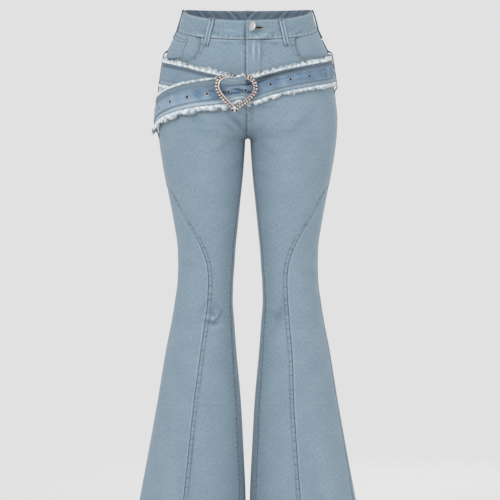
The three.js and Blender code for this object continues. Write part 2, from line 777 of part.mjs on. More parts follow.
// The heart stands in a plane that leans with the body at the buckle
function heartFrame() {
  const depth = frontAt(HEART_CENTRE.z) + HEART_OFF + HEART_RIM * 0.9;
  const yaw = -4 * DEGREE;
  return (u, v, out) => new THREE.Vector3(
    HEART_CENTRE.x + u * Math.cos(yaw) + out * Math.sin(yaw),
    -depth - out * Math.cos(yaw) + u * Math.sin(yaw) * -1,
    HEART_CENTRE.z + v,
  );
}

function addHeart() {
  const steps = 54;
  const sides = 8;
  const outline = heartOutline(steps);
  const place = heartFrame();
  const points = [];
  const faces = [];
  outline.forEach((here, i) => {
    const before = outline[(i + steps - 1) % steps];
    const after = outline[(i + 1) % steps];
    const along = new THREE.Vector2(after.x - before.x, after.y - before.y).normalize();
    const out = new THREE.Vector2(along.y, -along.x);
    for (let k = 0; k < sides; k += 1) {
      const turn = ((k + 0.5) * 2 * Math.PI) / sides;
      const u = here.x + out.x * Math.cos(turn) * HEART_RIM;
      const v = here.y + out.y * Math.cos(turn) * HEART_RIM;
      points.push(place(u, v, Math.sin(turn) * HEART_RIM * 0.9));
      const a = i * sides + k;
      const b = i * sides + ((k + 1) % sides);
      const c = ((i + 1) % steps) * sides + k;
      const d = ((i + 1) % steps) * sides + ((k + 1) % sides);
      faces.push(a, b, d, a, d, c);
    }
  });
  if (signedVolume(points, faces) < 0) {
    for (let i = 0; i < faces.length; i += 3) [faces[i + 1], faces[i + 2]] = [faces[i + 2], faces[i + 1]];
  }
  addMesh('buckle_heart', points, faces, roseMetal);
}

// A rod along a few points, with flat ends
function addRod(name, route, radius, finish) {
  const path = new THREE.CatmullRomCurve3(route);
  const section = new THREE.Shape();
  section.absarc(0, 0, radius, 0, 2 * Math.PI);
  const geometry = new THREE.ExtrudeGeometry(section, { steps: 16, curveSegments: 6, extrudePath: path });
  const rod = new THREE.Mesh(geometry, finish);
  rod.name = name;
  group.add(rod);
}

// The bar passes behind the tail and comes forward to the heart's back at notch and point
function addBar() {
  const place = heartFrame();
  const top = HEART_HEIGHT / 2 - HEART_RIM;
  const seat = -HEART_RIM * 0.9 - SEAM_GAP;
  const behind = BELT_OFF + 1.6 - HEART_OFF - HEART_RIM * 0.9;
  addRod('buckle_bar', [
    place(0, top - NOTCH_DROP + 0.6, seat),
    place(0, top - NOTCH_DROP + 1.2, seat - 3),
    place(0, top - NOTCH_DROP + 1.4, behind + 2.2),
    place(0, top - NOTCH_DROP - 0.8, behind - 0.4),
    place(0, 0, behind - 0.4),
    place(0, 7 - top, behind),
    place(0, 2 - top, behind + 3),
    place(0, 1 - top, seat - 3),
    place(0, 0.6 - top, seat),
  ], 1.3, silver);
}

// Hip loops: flat on the side at both ends, and stood off between them to clear the belt
function addHipLoop({ side, angle, top, foot, leaves, returns, ease, clear }) {
  const rows = 20;
  addWall(`hip_loop_${sideName(side)}`, denim, 2, rows, (column, row) => {
    const level = mix(top, foot, row / rows);
    const z = heightOf(level, angle);
    const tucked = (HIP_LOOP_RISE * column) / 4;
    const away = smoothStep((leaves - tucked - z) / (HIP_LOOP_RISE - tucked));
    const stood = away * smoothStep((z - returns) / ease);
    const stand = mix(clear, DRAWN_CLEAR, smoothStep((DRAWS_IN - z) / DRAWS_IN_OVER));
    const off = mix(LAY_GAP + 1, stand + 1, stood);
    const round = mix(-0.5, 0.5, column / 2) * angleFor(HIP_LOOP_WIDTH, side, angle, level);
    return { ...bodyPoint(side, angle + round, level, off), wall: 1 };
  });
}

for (const side of [1, -1]) {
  addFront(side);
  addSide(side);
  addBack(side);
  addYoke(side);
  addFacing(side);
  addBackPocket(side);
  addBand(side);
  addLoop(`loop_front_${sideName(side)}`, side, side > 0 ? 29.3 : 31.7, 0.8);
  addLoop(`loop_side_${sideName(side)}`, side, 89, side > 0 ? 2 : 1);
}
addLoop('loop_back', 1, 180, 1);
addCoinPocket();
addFly();
addButton();
HIP_LOOPS.forEach(addHipLoop);

addRibbon(BELT, 'belt', denim, BELT.from, BELT.to, BELT_CLOTH / 2, 0, BELT_WALL, 3);
addRibbon(TAIL, 'belt_tail', denim, TAIL.from, TAIL.to, BELT_CLOTH / 2, 0, BELT_WALL, 3);
addRibbon(BELT, 'belt_strip', denimDark, STRIP_STARTS, BELT.to, STRIP_WIDTH / 2, STRIP_OFF, STRIP_WALL, 1);
addRibbon(TAIL, 'tail_strip', denimDark, TAIL.from, TAIL.to, STRIP_WIDTH / 2, STRIP_OFF, STRIP_WALL, 1);
addFringe(BELT, 'fringe_belt_top', BELT.from - 2, BELT.to, 1, 50);
addFringe(BELT, 'fringe_belt_bottom', BELT.from - 2, BELT.to, -1, 50);
addFringe(TAIL, 'fringe_tail_top', -13, TAIL.to, 1, 18);
addFringe(TAIL, 'fringe_tail_bottom', -13, TAIL.to, -1, 18);

// The tail's first eyelet sits where the strip climbs over the bar, so it stands a little higher
addEyelet('eyelet_tail_1', TAIL, TAIL_FIRST_EYELET, TAIL_FIRST_LIFT);
const tailEyelets = evenAngles(TAIL, -14.6, TAIL.to + 12, EYELET_PITCH);
tailEyelets.forEach((angle, i) => addEyelet(`eyelet_tail_${i + 2}`, TAIL, angle));
const beltEyelets = evenAngles(BELT, BELT.to + BELT_FIRST_EYELET, -106, EYELET_PITCH);
beltEyelets.forEach((angle, i) => addEyelet(`eyelet_belt_${i + 1}`, BELT, angle));
addHeart();
addBar();

export default group;
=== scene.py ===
# %% [markdown]
# Flared jeans with a frayed hip belt and a heart buckle, held up by a waist that isn't there.
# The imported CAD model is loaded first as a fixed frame. Every cloth piece is then made again as
# a fine thin shell on the same form, with seams, creases, stitches and frayed threads.

# %% Load the frame
import math

import bmesh
import bpy
import numpy as np
from mathutils import Matrix, Vector


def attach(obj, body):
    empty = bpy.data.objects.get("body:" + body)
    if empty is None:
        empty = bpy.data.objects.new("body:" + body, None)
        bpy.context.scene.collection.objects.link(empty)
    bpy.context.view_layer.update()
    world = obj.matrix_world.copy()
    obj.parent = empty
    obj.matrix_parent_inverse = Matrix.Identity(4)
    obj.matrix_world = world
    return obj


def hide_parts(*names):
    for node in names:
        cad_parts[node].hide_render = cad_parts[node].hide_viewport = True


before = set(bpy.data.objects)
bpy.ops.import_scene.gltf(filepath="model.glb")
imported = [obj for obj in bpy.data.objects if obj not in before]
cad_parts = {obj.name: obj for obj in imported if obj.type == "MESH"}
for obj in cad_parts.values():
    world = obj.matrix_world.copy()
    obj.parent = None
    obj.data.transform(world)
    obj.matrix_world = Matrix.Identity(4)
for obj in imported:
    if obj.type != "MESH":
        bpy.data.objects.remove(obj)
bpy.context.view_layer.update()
MM = 0.001

# %% [markdown]
# Denim panels are drafted from levels round the body: a half width, the gap between the legs and
# a depth in front and behind. A short table holds the levels in millimetres, and a smooth curve
# runs through them, so the shell can be as fine as the looks need.

# %% Level sections and seams
# Columns: z, outer, inner, front and back.
SECTIONS = np.array([
    (40, 121, -121, 86, 82), (14, 126.5, -126.5, 87, 83), (0, 130.5, -130.5, 89, 85),
    (-32, 144.8, -144.8, 96, 96), (-63, 158, -158, 101, 105), (-100, 164, -160, 104, 114),
    (-149, 170.5, -104, 106, 125), (-188, 174, -50, 104, 130), (-222, 172.2, 0, 98, 119),
    (-226, 171.8, 5.6, 97.5, 117), (-246, 169.3, 6.6, 94, 108), (-285, 163.2, 8.8, 88.5, 98),
    (-344, 151.6, 14.6, 82, 86), (-391, 143, 19.2, 75, 76), (-441, 136.2, 24.2, 67.5, 66),
    (-471, 135.7, 26, 64, 62.5), (-500, 136.6, 28.2, 63, 62.5), (-539, 141.6, 29.3, 64, 66),
    (-580, 148.4, 26.4, 67, 70), (-636, 159.4, 22.4, 72, 76), (-734, 175.5, 13.7, 80, 85),
    (-831, 193.2, 8.4, 88, 94), (-927, 211, 4.2, 95, 101), (-1040, 231, 3.4, 101, 108),
], float)
WAIST_RISE = np.array([
    (-180, 32), (-90, 26.5), (-55, 12.2), (-30, 4), (0, 0), (30, 4), (55, 12.2), (90, 26.5),
    (120, 30.5), (180, 32), (240, 30.5),
], float)
FLARE_SEAM = np.array([  # z, wearer's right, wearer's left
    (-300, 120, 120), (-314, 94, 91), (-322, 76, 76), (-334, 64, 64), (-360, 50, 50),
    (-391, 34, 34), (-418, 18, 18), (-445, 5.5, 5.5), (-471, -3, -3), (-500, -7.2, -7.2),
    (-539, -8.6, -8.6), (-580, -5, -7), (-656, 0.8, -4.6), (-734, 6, -4.4), (-831, 8, -4),
    (-1040, 10, -2),
], float)
SIDE_SEAM = np.array([
    (0, 92, 92), (-222, 94, 91), (-441, 95, 85), (-563, 95, 77), (-734, 95, 75), (-1040, 95, 65),
], float)
INNER_SEAM = np.array([
    (-222, -90), (-246, -84), (-300, -76), (-391, -68), (-539, -66), (-734, -62), (-1040, -64),
], float)
SCOOP = np.array([
    (-38, 38.5), (-56, 36.6), (-69, 37.4), (-79, 42.5), (-86, 51), (-91, 62), (-95, 76),
    (-98, 94), (-104, 110),
], float)
HEM_LEVEL = -1017
CROTCH = -222
BAND_FOOT = -38
RISE_ENDS = -160
DENIM = 1.5
SEAM_GAP = 0.3
LAY_GAP = 0.6


def curve(rows, column=1):
    """A smooth function through a table's first column and another one, with no overshoot."""
    rows = rows[np.argsort(rows[:, 0])]
    x, y = rows[:, 0], rows[:, column]
    slope = np.diff(y) / np.diff(x)
    before, after = np.r_[slope[0], slope], np.r_[slope, slope[-1]]
    both = before * after
    total = np.where(before + after == 0, 1, before + after)
    tangent = np.where(both <= 0, 0, 2 * both / total)

    def at(value):
        value = np.clip(np.asarray(value, float), x[0], x[-1])
        i = np.clip(np.searchsorted(x, value, side="right") - 1, 0, len(x) - 2)
        run, rise = x[i + 1] - x[i], y[i + 1] - y[i]
        t, a, b = (value - x[i]) / run, tangent[i] * run, tangent[i + 1] * run
        return y[i] + t * a + t**2 * (3 * rise - 2 * a - b) + t**3 * (a + b - 2 * rise)

    return at


outer_at, inner_at, front_at, back_at = (curve(SECTIONS, c) for c in range(1, 5))
rise_at = curve(WAIST_RISE)
inner_seam_at = curve(INNER_SEAM)
scoop_at, scoop_foot_at = curve(SCOOP), curve(SCOOP[1:, ::-1])
flare_seam = {-1: curve(FLARE_SEAM, 1), 1: curve(FLARE_SEAM, 2)}
side_seam = {-1: curve(SIDE_SEAM, 1), 1: curve(SIDE_SEAM, 2)}
side_name = {-1: "right", 1: "left"}
print("waist round, mm:", round(math.pi * (outer_at(0) + (front_at(0) + back_at(0)) / 2)))

# %% [markdown]
# Jeans that hang on a body are nearly smooth in front, with faint drag lines from the crotch and
# breaks behind the knee and under the seat. A simulation would take minutes and move the outline,
# so each crease is listed: where it lies, which way it runs, its length, width and depth.

# %% Creases
# Columns: side, angle, z, lean, length, width and depth.
CREASES = [
    # drag lines that fan out from the crotch, in front
    (-1, 14, -196, 22, 52, 7, -1.1), (-1, 26, -178, 30, 60, 8, -0.9), (-1, 8, -214, 14, 40, 6, -1.2),
    (1, 16, -200, 20, 50, 7, -1.0), (1, 30, -182, 32, 58, 8, -0.8), (1, 4, -216, 10, 36, 6, -1.1),
    (-1, -34, -240, -34, 46, 8, -1.2), (1, -38, -246, -30, 44, 7, -1.0),
    # inner thigh
    (-1, -60, -278, -24, 60, 9, -1.0), (1, -58, -292, -20, 58, 9, -0.9),
    # knees in front and on the inner side
    (-1, -24, -568, 72, 13, 3.4, -2.0), (-1, -17, -570, 118, 13, 3.2, -1.8),
    (-1, -24, -584, -12, 15, 3.2, -1.8),
    (-1, -36, -552, 30, 20, 4.5, -0.9), (1, -40, -566, -16, 34, 7, -1.0), (1, -28, -560, 40, 22, 5, -0.7),
    (-1, 42, -470, 12, 40, 9, -0.8), (1, 48, -486, -10, 42, 9, -0.8), (1, 30, -520, 8, 30, 8, -0.6),
    # under the seat
    (-1, 166, -270, -10, 76, 8, -2.2), (-1, 200, -284, 12, 58, 7, -1.8), (-1, 150, -304, -16, 64, 9, -1.4),
    (1, 162, -274, -12, 72, 8, -2.0), (1, 198, -290, 10, 60, 8, -1.9), (1, 146, -310, -14, 66, 9, -1.3),
    (-1, 184, -236, 26, 50, 8, -1.2), (1, 186, -240, 24, 52, 8, -1.2),
    # behind the knee
    (-1, 170, -438, 8, 56, 7, -2.0), (-1, 196, -462, -12, 52, 6, -2.2), (-1, 158, -484, 14, 54, 7, -1.8),
    (-1, 188, -512, -8, 58, 8, -1.6), (1, 168, -442, -10, 54, 7, -2.0), (1, 192, -468, 12, 52, 7, -2.0),
    (1, 160, -494, -12, 56, 7, -1.7), (1, 190, -522, 8, 56, 8, -1.5),
    # long soft waves in the flare
    (-1, 120, -860, 84, 150, 20, 1.6), (-1, 215, -850, 92, 160, 22, 1.6), (-1, 30, -900, 86, 110, 20, 0.9),
    (1, 118, -870, 94, 150, 20, 1.6), (1, 210, -880, 88, 150, 22, 1.5), (1, 26, -880, 96, 120, 20, 0.9),
    (-1, 165, -900, 90, 120, 22, -1.6), (1, 165, -890, 90, 130, 22, -1.6),
]
FOLDS = [  # the broad folds that the CAD walls have too: side, z, angle, high, wide, depth
    (0, -300, 168, 16, 30, -3.5), (0, -330, 178, 12, 26, 2.5), (0, -452, 176, 13, 34, -3.5),
    (0, -486, 184, 12, 32, 3), (0, -520, 172, 14, 30, -3), (-1, -548, -34, 16, 20, -2.2),
    (1, -560, -40, 18, 18, -1.8),
]


# Columns: x, z, lean, length, width and tone.
SHADE_AND_WEAR_MARKS = [  # painted shade and highlight in front, with some washed streaks: paler above 0, darker below
    (-4.6, -80, 90, 48, 1.7, -1.1), (-4.6, -20, 90, 20, 1.7, -0.8), (-3.0, -196, 90, 26, 1.5, -1.0),
    (2.6, -196, 90, 26, 1.3, 0.5),
    (8.0, -196, 90, 26, 1.2, -0.4), (-9, -43, 0, 9, 3, -0.7), (27, -42, 0, 10, 3, -0.5),
    (52, -45, 0, 8, 3, -0.6), (-40, -44, 0, 12, 3, -0.35),
    (11, -58, 90, 15, 2.2, 0.9), (21.5, -58, 90, 16, 2, 0.7), (16, -60, 90, 12, 2, -0.4),
    (28, -62, 88, 15, 2.2, -0.5),
    (5.5, -54, 90, 10, 2, -0.3), (35, -27, 30, 12, 2.2, 0.8), (16, -33, 8, 8, 2, 0.6),
    (38, -33, 18, 11, 2.6, -0.5),
    (-62, -24, -24, 12, 2.4, -0.4), (-66, -30, -20, 10, 2, 0.4), (84, -16, 28, 12, 2.4, -0.35),
    (-24, -192, -32, 16, 5, -0.7), (-34, -206, -38, 18, 4, -0.4), (-14, -204, -48, 16, 4, -0.4),
    (-6.5, -252, 90, 32, 4, -0.6), (7, -250, 90, 26, 3, -0.3), (30, -168, 10, 24, 6, -0.3),
    (-70, -176, -8, 26, 5, -0.25),
    (26, -206, 36, 22, 4, -0.3), (46, -196, 30, 24, 5, 0.2),
    (-72, -579, -10, 11, 2.2, -1.3), (-60, -574, 42, 8, 2.0, -0.9), (-52, -562, 64, 9, 2.2, -0.6),
    (-70, -571, -6, 12, 3.2, 0.7),
    (-68, -556, 78, 12, 3.0, -0.4), (-58, -588, 10, 14, 4, 0.35), (64, -560, 70, 30, 8, -0.25),
    (-84, -548, 60, 16, 4, -0.3),
    (22, -22, 0, 9, 1.4, -0.7), (44, -24, 12, 10, 1.6, -0.6), (60, -34, 16, 10, 2.0, 0.5),
    (-16, -31, 2, 12, 1.8, -0.4),
    (-34, -20, -6, 14, 2.0, 0.4), (-86, -20, -26, 12, 2.0, -0.5), (-92, -28, -22, 10, 2.0, 0.5),
    (98, -22, 30, 12, 2.2, -0.5),
    (70, -14, 18, 10, 1.6, -0.4), (-50, -12, -10, 10, 1.4, -0.3),
]


BELT_CREASE_SHADE_MARKS = [  # painted shade and highlight of the creases where the belt is drawn through the buckle
    (1, -124, 10, 13, 1.6, -3.0), (-44, -140, -4, 9, 2.2, -2.4), (-28, -141, 6, 12, 1.3, -1.8),
    (2, -139, -6, 11, 1.4, -2.4),
    (-16, -135, -14, 12, 1.6, -2.0), (-24, -130, 12, 20, 2.2, 0.9), (-8, -131, 4, 14, 2.2, 0.7),
    (-22, -149, 4, 28, 2.4, 0.9),
    (-26, -127, 6, 16, 1.1, -0.9), (-24, -155, 8, 22, 1.0, -0.9), (-30, -118, 0, 16, 3, 0.4),
    (36, -109, 22, 22, 4, -1.4),
    (22, -120, 20, 12, 1.4, -1.6), (29, -117, 20, 15, 1.6, -0.9), (64, -104, 16, 30, 4, -0.8),
    (-58, -150, 14, 20, 3, -0.8),
    (88, -96, 12, 20, 3, -0.6), (-86, -150, 8, 30, 3, 0.4), (-110, -163, 10, 24, 4, 0.35),
    (44, -128, 12, 26, 3, 0.35),
    (100, -108, 10, 24, 3, 0.3), (-66, -136, 10, 16, 1.6, -0.9), (-70, -128, 8, 14, 1.6, -0.6),
    (70, -112, 14, 20, 1.4, -0.6),
]


def shade_and_wear_tone(points, marks=SHADE_AND_WEAR_MARKS):
    """Painted shade and highlight, with some worn streaks, at points of the front."""
    tone = np.zeros(points.shape[:-1])
    for x, z, lean, length, width, strength in marks:
        turn = math.radians(lean)
        u, v = points[..., 0] - x, points[..., 2] - z
        along = (u * math.cos(turn) + v * math.sin(turn)) / length
        across = (-u * math.sin(turn) + v * math.cos(turn)) / width
        tone += strength * np.exp(-(along**2) - across**2)
    return np.where(points[..., 1] < 0, tone, 0)


def smooth_step(t):
    t = np.clip(t, 0, 1)
    return t * t * (3 - 2 * t)


def mix(a, b, t):
    return a + (b - a) * t


def crease_depth(side, angle, z):
    """How far the creases push the cloth in or out, in millimetres."""
    depth = np.zeros(np.broadcast(angle, z).shape)
    half = (outer_at(z) - inner_at(z)) / 2
    for crease_side, a0, z0, lean, length, width, deep in CREASES:
        if crease_side != side:
            continue
        turn = np.radians(lean)
        round_it = np.radians(angle - a0) * half
        up = z - z0
        along = (round_it * np.cos(turn) + up * np.sin(turn)) / length
        bend = 0.12 * length * along**2
        across = (-round_it * np.sin(turn) + up * np.cos(turn) + bend) / width
        fade = np.clip(1 - along**2, 0, 1) ** 2
        depth += deep * fade * (np.exp(-across**2) - 0.45 * np.exp(-((across - 1.9) ** 2)))
    return depth


def fold_depth(side, angle, z):
    depth = np.zeros(np.broadcast(angle, z).shape)
    for fold_side, z0, a0, high, wide, deep in FOLDS:
        if fold_side in (0, side):
            depth += deep * np.exp(-(((z - z0) / high) ** 2) - ((angle - a0) / wide) ** 2)
    return depth


def height_of(level, angle):
    fade = smooth_step((level - RISE_ENDS) / (BAND_FOOT - RISE_ENDS))
    return level + rise_at(angle) * fade


def body_surface(side, angle, level):
    z = height_of(level, angle)
    centre, half = (outer_at(z) + inner_at(z)) / 2, (outer_at(z) - inner_at(z)) / 2
    fold = fold_depth(side, angle, z)
    sine, cosine = np.sin(np.radians(angle)), np.cos(np.radians(angle))
    depth = np.where(cosine > 0, front_at(z), back_at(z))
    return np.stack([side * (centre + (half + fold) * sine), -(depth + fold) * cosine, z], -1)


def unit(v):
    return v / np.maximum(np.linalg.norm(v, axis=-1, keepdims=True), 1e-9)


def outward_normal(surface, a, b, step_a, step_b, outward):
    along = surface(a + step_a, b) - surface(a - step_a, b)
    up = surface(a, b + step_b) - surface(a, b - step_b)
    normal = unit(np.cross(along, up))
    flip = np.where((normal * outward).sum(-1, keepdims=True) < 0, -1.0, 1.0)
    return normal * flip


def body_point(side, angle, level):
    """Points of the jeans and their outward normals, in millimetres."""
    angle, level = np.broadcast_arrays(np.asarray(angle, float), np.asarray(level, float))
    turn = np.radians(angle)
    outward = np.stack([side * np.sin(turn), -np.cos(turn), 0 * turn], -1)
    normal = outward_normal(lambda a, b: body_surface(side, a, b), angle, level, 0.5, 0.5, outward)
    return body_surface(side, angle, level), normal


def middle_angle(level, behind):
    z = height_of(level, 180.0 if behind else 0.0)
    centre, half = (outer_at(z) + inner_at(z)) / 2, (outer_at(z) - inner_at(z)) / 2
    meet = np.degrees(np.arcsin(np.clip((centre - SEAM_GAP / 2) / half, -1, 1)))
    return 180 + meet if behind else -meet


def inner_edge(level, behind):
    seam = inner_seam_at(level) + (360 if behind else 0)
    return np.where(level > CROTCH, middle_angle(level, behind), seam)


def gap_angle(level):
    half = np.minimum((outer_at(level) - inner_at(level)) / 2, front_at(level))
    return np.degrees(SEAM_GAP / 2 / half)


print(len(CREASES), "creases and", len(FOLDS), "broad folds")

# %% [markdown]
# Cloth colours come from one function that turns a sRGB hex value to linear, and one small helper
# adds a node with its settings and links. Denim is a twill: blue warp over white weft, in ribs
# about 0.7 mm apart. That is finer than a pixel here, so the ribs are drawn 1.4 mm apart, and
# flecks of uneven dye 2 mm wide and 5 mm long stand for bundles of yarns. A vertex attribute
# named tone carries the fading along seams, where washing wears the dye off, and also painted
# shade and highlight at creases, folds and edges.

# %% Material helpers and the denims
TWILL_RIB = 1.4 * MM
YARN = 0.9 * MM
HEATHER = 2.2 * MM


def linear(hex_value):
    channels = [int(hex_value[i:i + 2], 16) / 255 for i in (1, 3, 5)]
    return [c / 12.92 if c <= 0.04045 else ((c + 0.055) / 1.055) ** 2.4 for c in channels] + [1.0]


def add_node(tree, kind, settings=None, values=None, links=None):
    """Adds a node, sets its properties and input values, and links its inputs."""
    node = tree.nodes.new(kind)
    for key, value in (settings or {}).items():
        setattr(node, key, value)
    for key, value in (values or {}).items():
        node.inputs[key].default_value = value
    for key, source in (links or {}).items():
        tree.links.new(source, node.inputs[key])
    return node


def new_material(name, **sockets):
    """A material with only its Principled shader, whose constant sockets are set here."""
    material = bpy.data.materials.new(name)
    material.use_nodes = True
    shader = material.node_tree.nodes["Principled BSDF"]
    for socket, value in sockets.items():
        shader.inputs[socket.replace("_", " ")].default_value = value
    return material, material.node_tree, shader


def denim_material(name, dye, faded, deep, rib=TWILL_RIB, wear=1.0):
    """Washed twill: dye at tone 0, faded above it for wear and painted highlight, deep at -1 and as dark as a
    painted fold shadow at -3.
    """
    material, tree, shader = new_material(name, Roughness=0.88, Sheen_Weight=0.18, Sheen_Roughness=0.45)
    cloth = add_node(tree, "ShaderNodeUVMap", {"uv_map": "cloth"}).outputs["UV"]
    warp = add_node(tree, "ShaderNodeMapping", values={"Scale": (1 / YARN, 0.12 / YARN, 1)},
                    links={"Vector": cloth})
    weft = add_node(tree, "ShaderNodeMapping", values={"Scale": (0.12 / YARN, 1 / YARN, 1)},
                    links={"Vector": cloth})
    heather = add_node(tree, "ShaderNodeMapping", values={"Scale": (1 / HEATHER, 0.4 / HEATHER, 1)},
                       links={"Vector": cloth})
    fleck = add_node(tree, "ShaderNodeTexNoise", values={"Scale": 1.0, "Detail": 1.0},
                     links={"Vector": heather.outputs[0]})
    slub = add_node(tree, "ShaderNodeTexNoise", values={"Scale": 1.0, "Detail": 2.0},
                    links={"Vector": warp.outputs[0]})
    pick = add_node(tree, "ShaderNodeTexNoise", values={"Scale": 1.0, "Detail": 2.0},
                    links={"Vector": weft.outputs[0]})
    cloud = add_node(tree, "ShaderNodeTexNoise", values={"Scale": 22.0, "Detail": 4.0},
                     links={"Vector": cloth})
    twill = add_node(tree, "ShaderNodeTexWave", {"bands_direction": "DIAGONAL"},
                     {"Scale": 0.314 / rib, "Distortion": 1.5, "Detail": 1.0, "Detail Scale": 0.5},
                     {"Vector": cloth})
    tone = add_node(tree, "ShaderNodeAttribute", {"attribute_name": "tone"})
    # Each pattern is centred on zero and added to the tone by its weight
    total = tone.outputs["Fac"]
    for source, weight in ((cloud, 0.45 * wear), (fleck, 0.9), (slub, 0.7), (pick, 0.5), (twill, 0.25)):
        channel = source.outputs["Fac"]
        centred = add_node(tree, "ShaderNodeMath", {"operation": "MULTIPLY_ADD"},
                           {1: weight, 2: -weight / 2}, {0: channel})
        total = add_node(tree, "ShaderNodeMath", {"operation": "ADD"},
                         links={0: total, 1: centred.outputs[0]}).outputs[0]
    unit_tone = add_node(tree, "ShaderNodeMath", {"operation": "MULTIPLY_ADD", "use_clamp": True},
                         {1: 0.25, 2: 0.75}, {0: total})
    ramp = add_node(tree, "ShaderNodeValToRGB", links={"Fac": unit_tone.outputs[0]})
    # The darkest stop is painted shadow, for pinched folds and the darkest crease hollows.
    ramp.color_ramp.elements[0].color = linear("#1c2732")
    ramp.color_ramp.elements[1].color = linear(faded)
    ramp.color_ramp.elements.new(0.75).color = linear(dye)
    ramp.color_ramp.elements.new(0.5).color = linear(deep)
    tree.links.new(ramp.outputs["Color"], shader.inputs["Base Color"])
    rough = add_node(tree, "ShaderNodeMath", {"operation": "ADD"},
                     links={0: twill.outputs["Fac"], 1: slub.outputs["Fac"]})
    bump = add_node(tree, "ShaderNodeBump", values={"Strength": 0.35, "Distance": 0.25 * MM},
                    links={"Height": rough.outputs[0]})
    tree.links.new(bump.outputs["Normal"], shader.inputs["Normal"])
    return material


DENIM_BLUE = denim_material("washed_denim_twill", "#899eac", "#b3c2cb", "#5f7689")
# The wrong side gets darker blues than its own: painted shade inside the garment.
SHADED_INSIDE_DENIM = denim_material("denim_wrong_side_painted_shade", "#6f8394", "#8fa1af", "#4f6273")
BELT_BLUE = denim_material("belt_denim_twill", "#8096a6", "#b1c0ca", "#596f84", wear=1.6)
STRIP_BLUE = denim_material("dark_strip_denim_twill", "#6e88a1", "#9cb1c2", "#4c6580", wear=1.8)
print([m.name for m in bpy.data.materials][:4])

# %% [markdown]
# Thread, frayed cotton, plated metal and stones. Frayed weft is bleached white cotton with a few
# blue warp ends, so the colour is varied over the object's own coordinates.

# %% Other materials
def cotton_material(name, pale, blue, scale):
    material, tree, shader = new_material(name, Roughness=0.95, Sheen_Weight=0.3, Sheen_Roughness=0.4)
    place = add_node(tree, "ShaderNodeTexCoord").outputs["Object"]
    noise = add_node(tree, "ShaderNodeTexNoise", values={"Scale": scale, "Detail": 2.0},
                     links={"Vector": place})
    ramp = add_node(tree, "ShaderNodeValToRGB", links={"Fac": noise.outputs["Fac"]})
    ramp.color_ramp.elements[0].position = 0.38
    ramp.color_ramp.elements[0].color = linear(blue)
    ramp.color_ramp.elements[1].position = 0.56
    ramp.color_ramp.elements[1].color = linear(pale)
    tree.links.new(ramp.outputs["Color"], shader.inputs["Base Color"])
    return material


def metal_material(name, colour, dull, roughness):
    """Plated zinc: a little uneven in colour and gloss."""
    material, tree, shader = new_material(name, Metallic=1.0)
    place = add_node(tree, "ShaderNodeTexCoord").outputs["Object"]
    noise = add_node(tree, "ShaderNodeTexNoise", values={"Scale": 420.0, "Detail": 3.0},
                     links={"Vector": place})
    blend = add_node(tree, "ShaderNodeMix", {"data_type": "RGBA"}, links={"Factor": noise.outputs["Fac"]})
    blend.inputs[6].default_value, blend.inputs[7].default_value = linear(dull), linear(colour)
    tree.links.new(blend.outputs[2], shader.inputs["Base Color"])
    gloss = add_node(tree, "ShaderNodeMapRange",
                     values={"To Min": roughness - 0.08, "To Max": roughness + 0.1},
                     links={"Value": noise.outputs["Fac"]})
    tree.links.new(gloss.outputs["Result"], shader.inputs["Roughness"])
    return material


THREAD = cotton_material("tan_grey_polyester_thread", "#a6a498", "#85888a", 260.0)
TAN_THREAD = cotton_material("tan_buttonhole_thread", "#a99f88", "#8a826f", 300.0)
FRAY = cotton_material("frayed_bleached_cotton", "#fafdfe", "#d0dee7", 170.0)
NICKEL = metal_material("nickel_plate", "#dcdcde", "#aeb0b4", 0.28)
SATIN = metal_material("satin_nickel_plate", "#e4e3e3", "#d2d2d3", 0.42)
ROSE_PLATE = metal_material("dark_rose_plated_zinc", "#7d655d", "#2e2422", 0.36)
RAIL_PLATE = metal_material("polished_rose_zinc", "#ece2dd", "#c4b3ab", 0.4)
STONE, _tree, _shader = new_material("clear_glass_stone", Roughness=0.05, Coat_Weight=0.6,
                                     Coat_Roughness=0.03)
_place = add_node(_tree, "ShaderNodeTexCoord").outputs["Object"]
_facets = add_node(_tree, "ShaderNodeTexVoronoi", values={"Scale": 620.0}, links={"Vector": _place})
# Stone colour runs from white to grey over facet-sized cells: painted facet glints.
_painted_glints = add_node(_tree, "ShaderNodeValToRGB", links={"Fac": _facets.outputs["Distance"]})
_painted_glints.color_ramp.elements[0].color = linear("#fbfafa")
_painted_glints.color_ramp.elements[1].color = linear("#a79a98")
_tree.links.new(_painted_glints.outputs["Color"], _shader.inputs["Base Color"])
# Near-black fuzz for the openings of the eyelets and the buttonhole: painted shadow in the holes.
HOLE_SHADOW, _tree, _shader = new_material("eyelet_shadow_cloth", Roughness=1.0)
_place = add_node(_tree, "ShaderNodeTexCoord").outputs["Object"]
_fuzz = add_node(_tree, "ShaderNodeTexNoise", values={"Scale": 900.0}, links={"Vector": _place})
_dark = add_node(_tree, "ShaderNodeValToRGB", links={"Fac": _fuzz.outputs["Fac"]})
_dark.color_ramp.elements[0].color = linear("#15181d")
_dark.color_ramp.elements[1].color = linear("#2b3038")
_tree.links.new(_dark.outputs["Color"], _shader.inputs["Base Color"])
print(len(bpy.data.materials), "materials")

# %% [markdown]
# Every shell starts as a bmesh grid. Its columns and rows are spaced finely at the edges, where a
# seam rolls in, and each vertex is then set on the cloth's form. Solidify gives the wall. The
# cloth map runs in real metres along the cloth, so the twill has one scale on every panel.

# %% Shell maker
EDGE_STEPS = (0, 0.5, 1.1, 1.8, 2.8, 4.2, 5.6, 7.0, 8.0, 9.0)


def edge_spacing(length, pitch, edges=(True, True)):
    """Fractions from 0 to 1 at a pitch in millimetres, with fine steps at the chosen ends."""
    start = list(EDGE_STEPS) if edges[0] else [0]
    end = [length - s for s in reversed(EDGE_STEPS)] if edges[1] else [length]
    count = max(2, round((end[0] - start[-1]) / pitch))
    middle = list(np.linspace(start[-1], end[0], count + 1))
    return np.array(start[:-1] + middle + end[1:]) / length


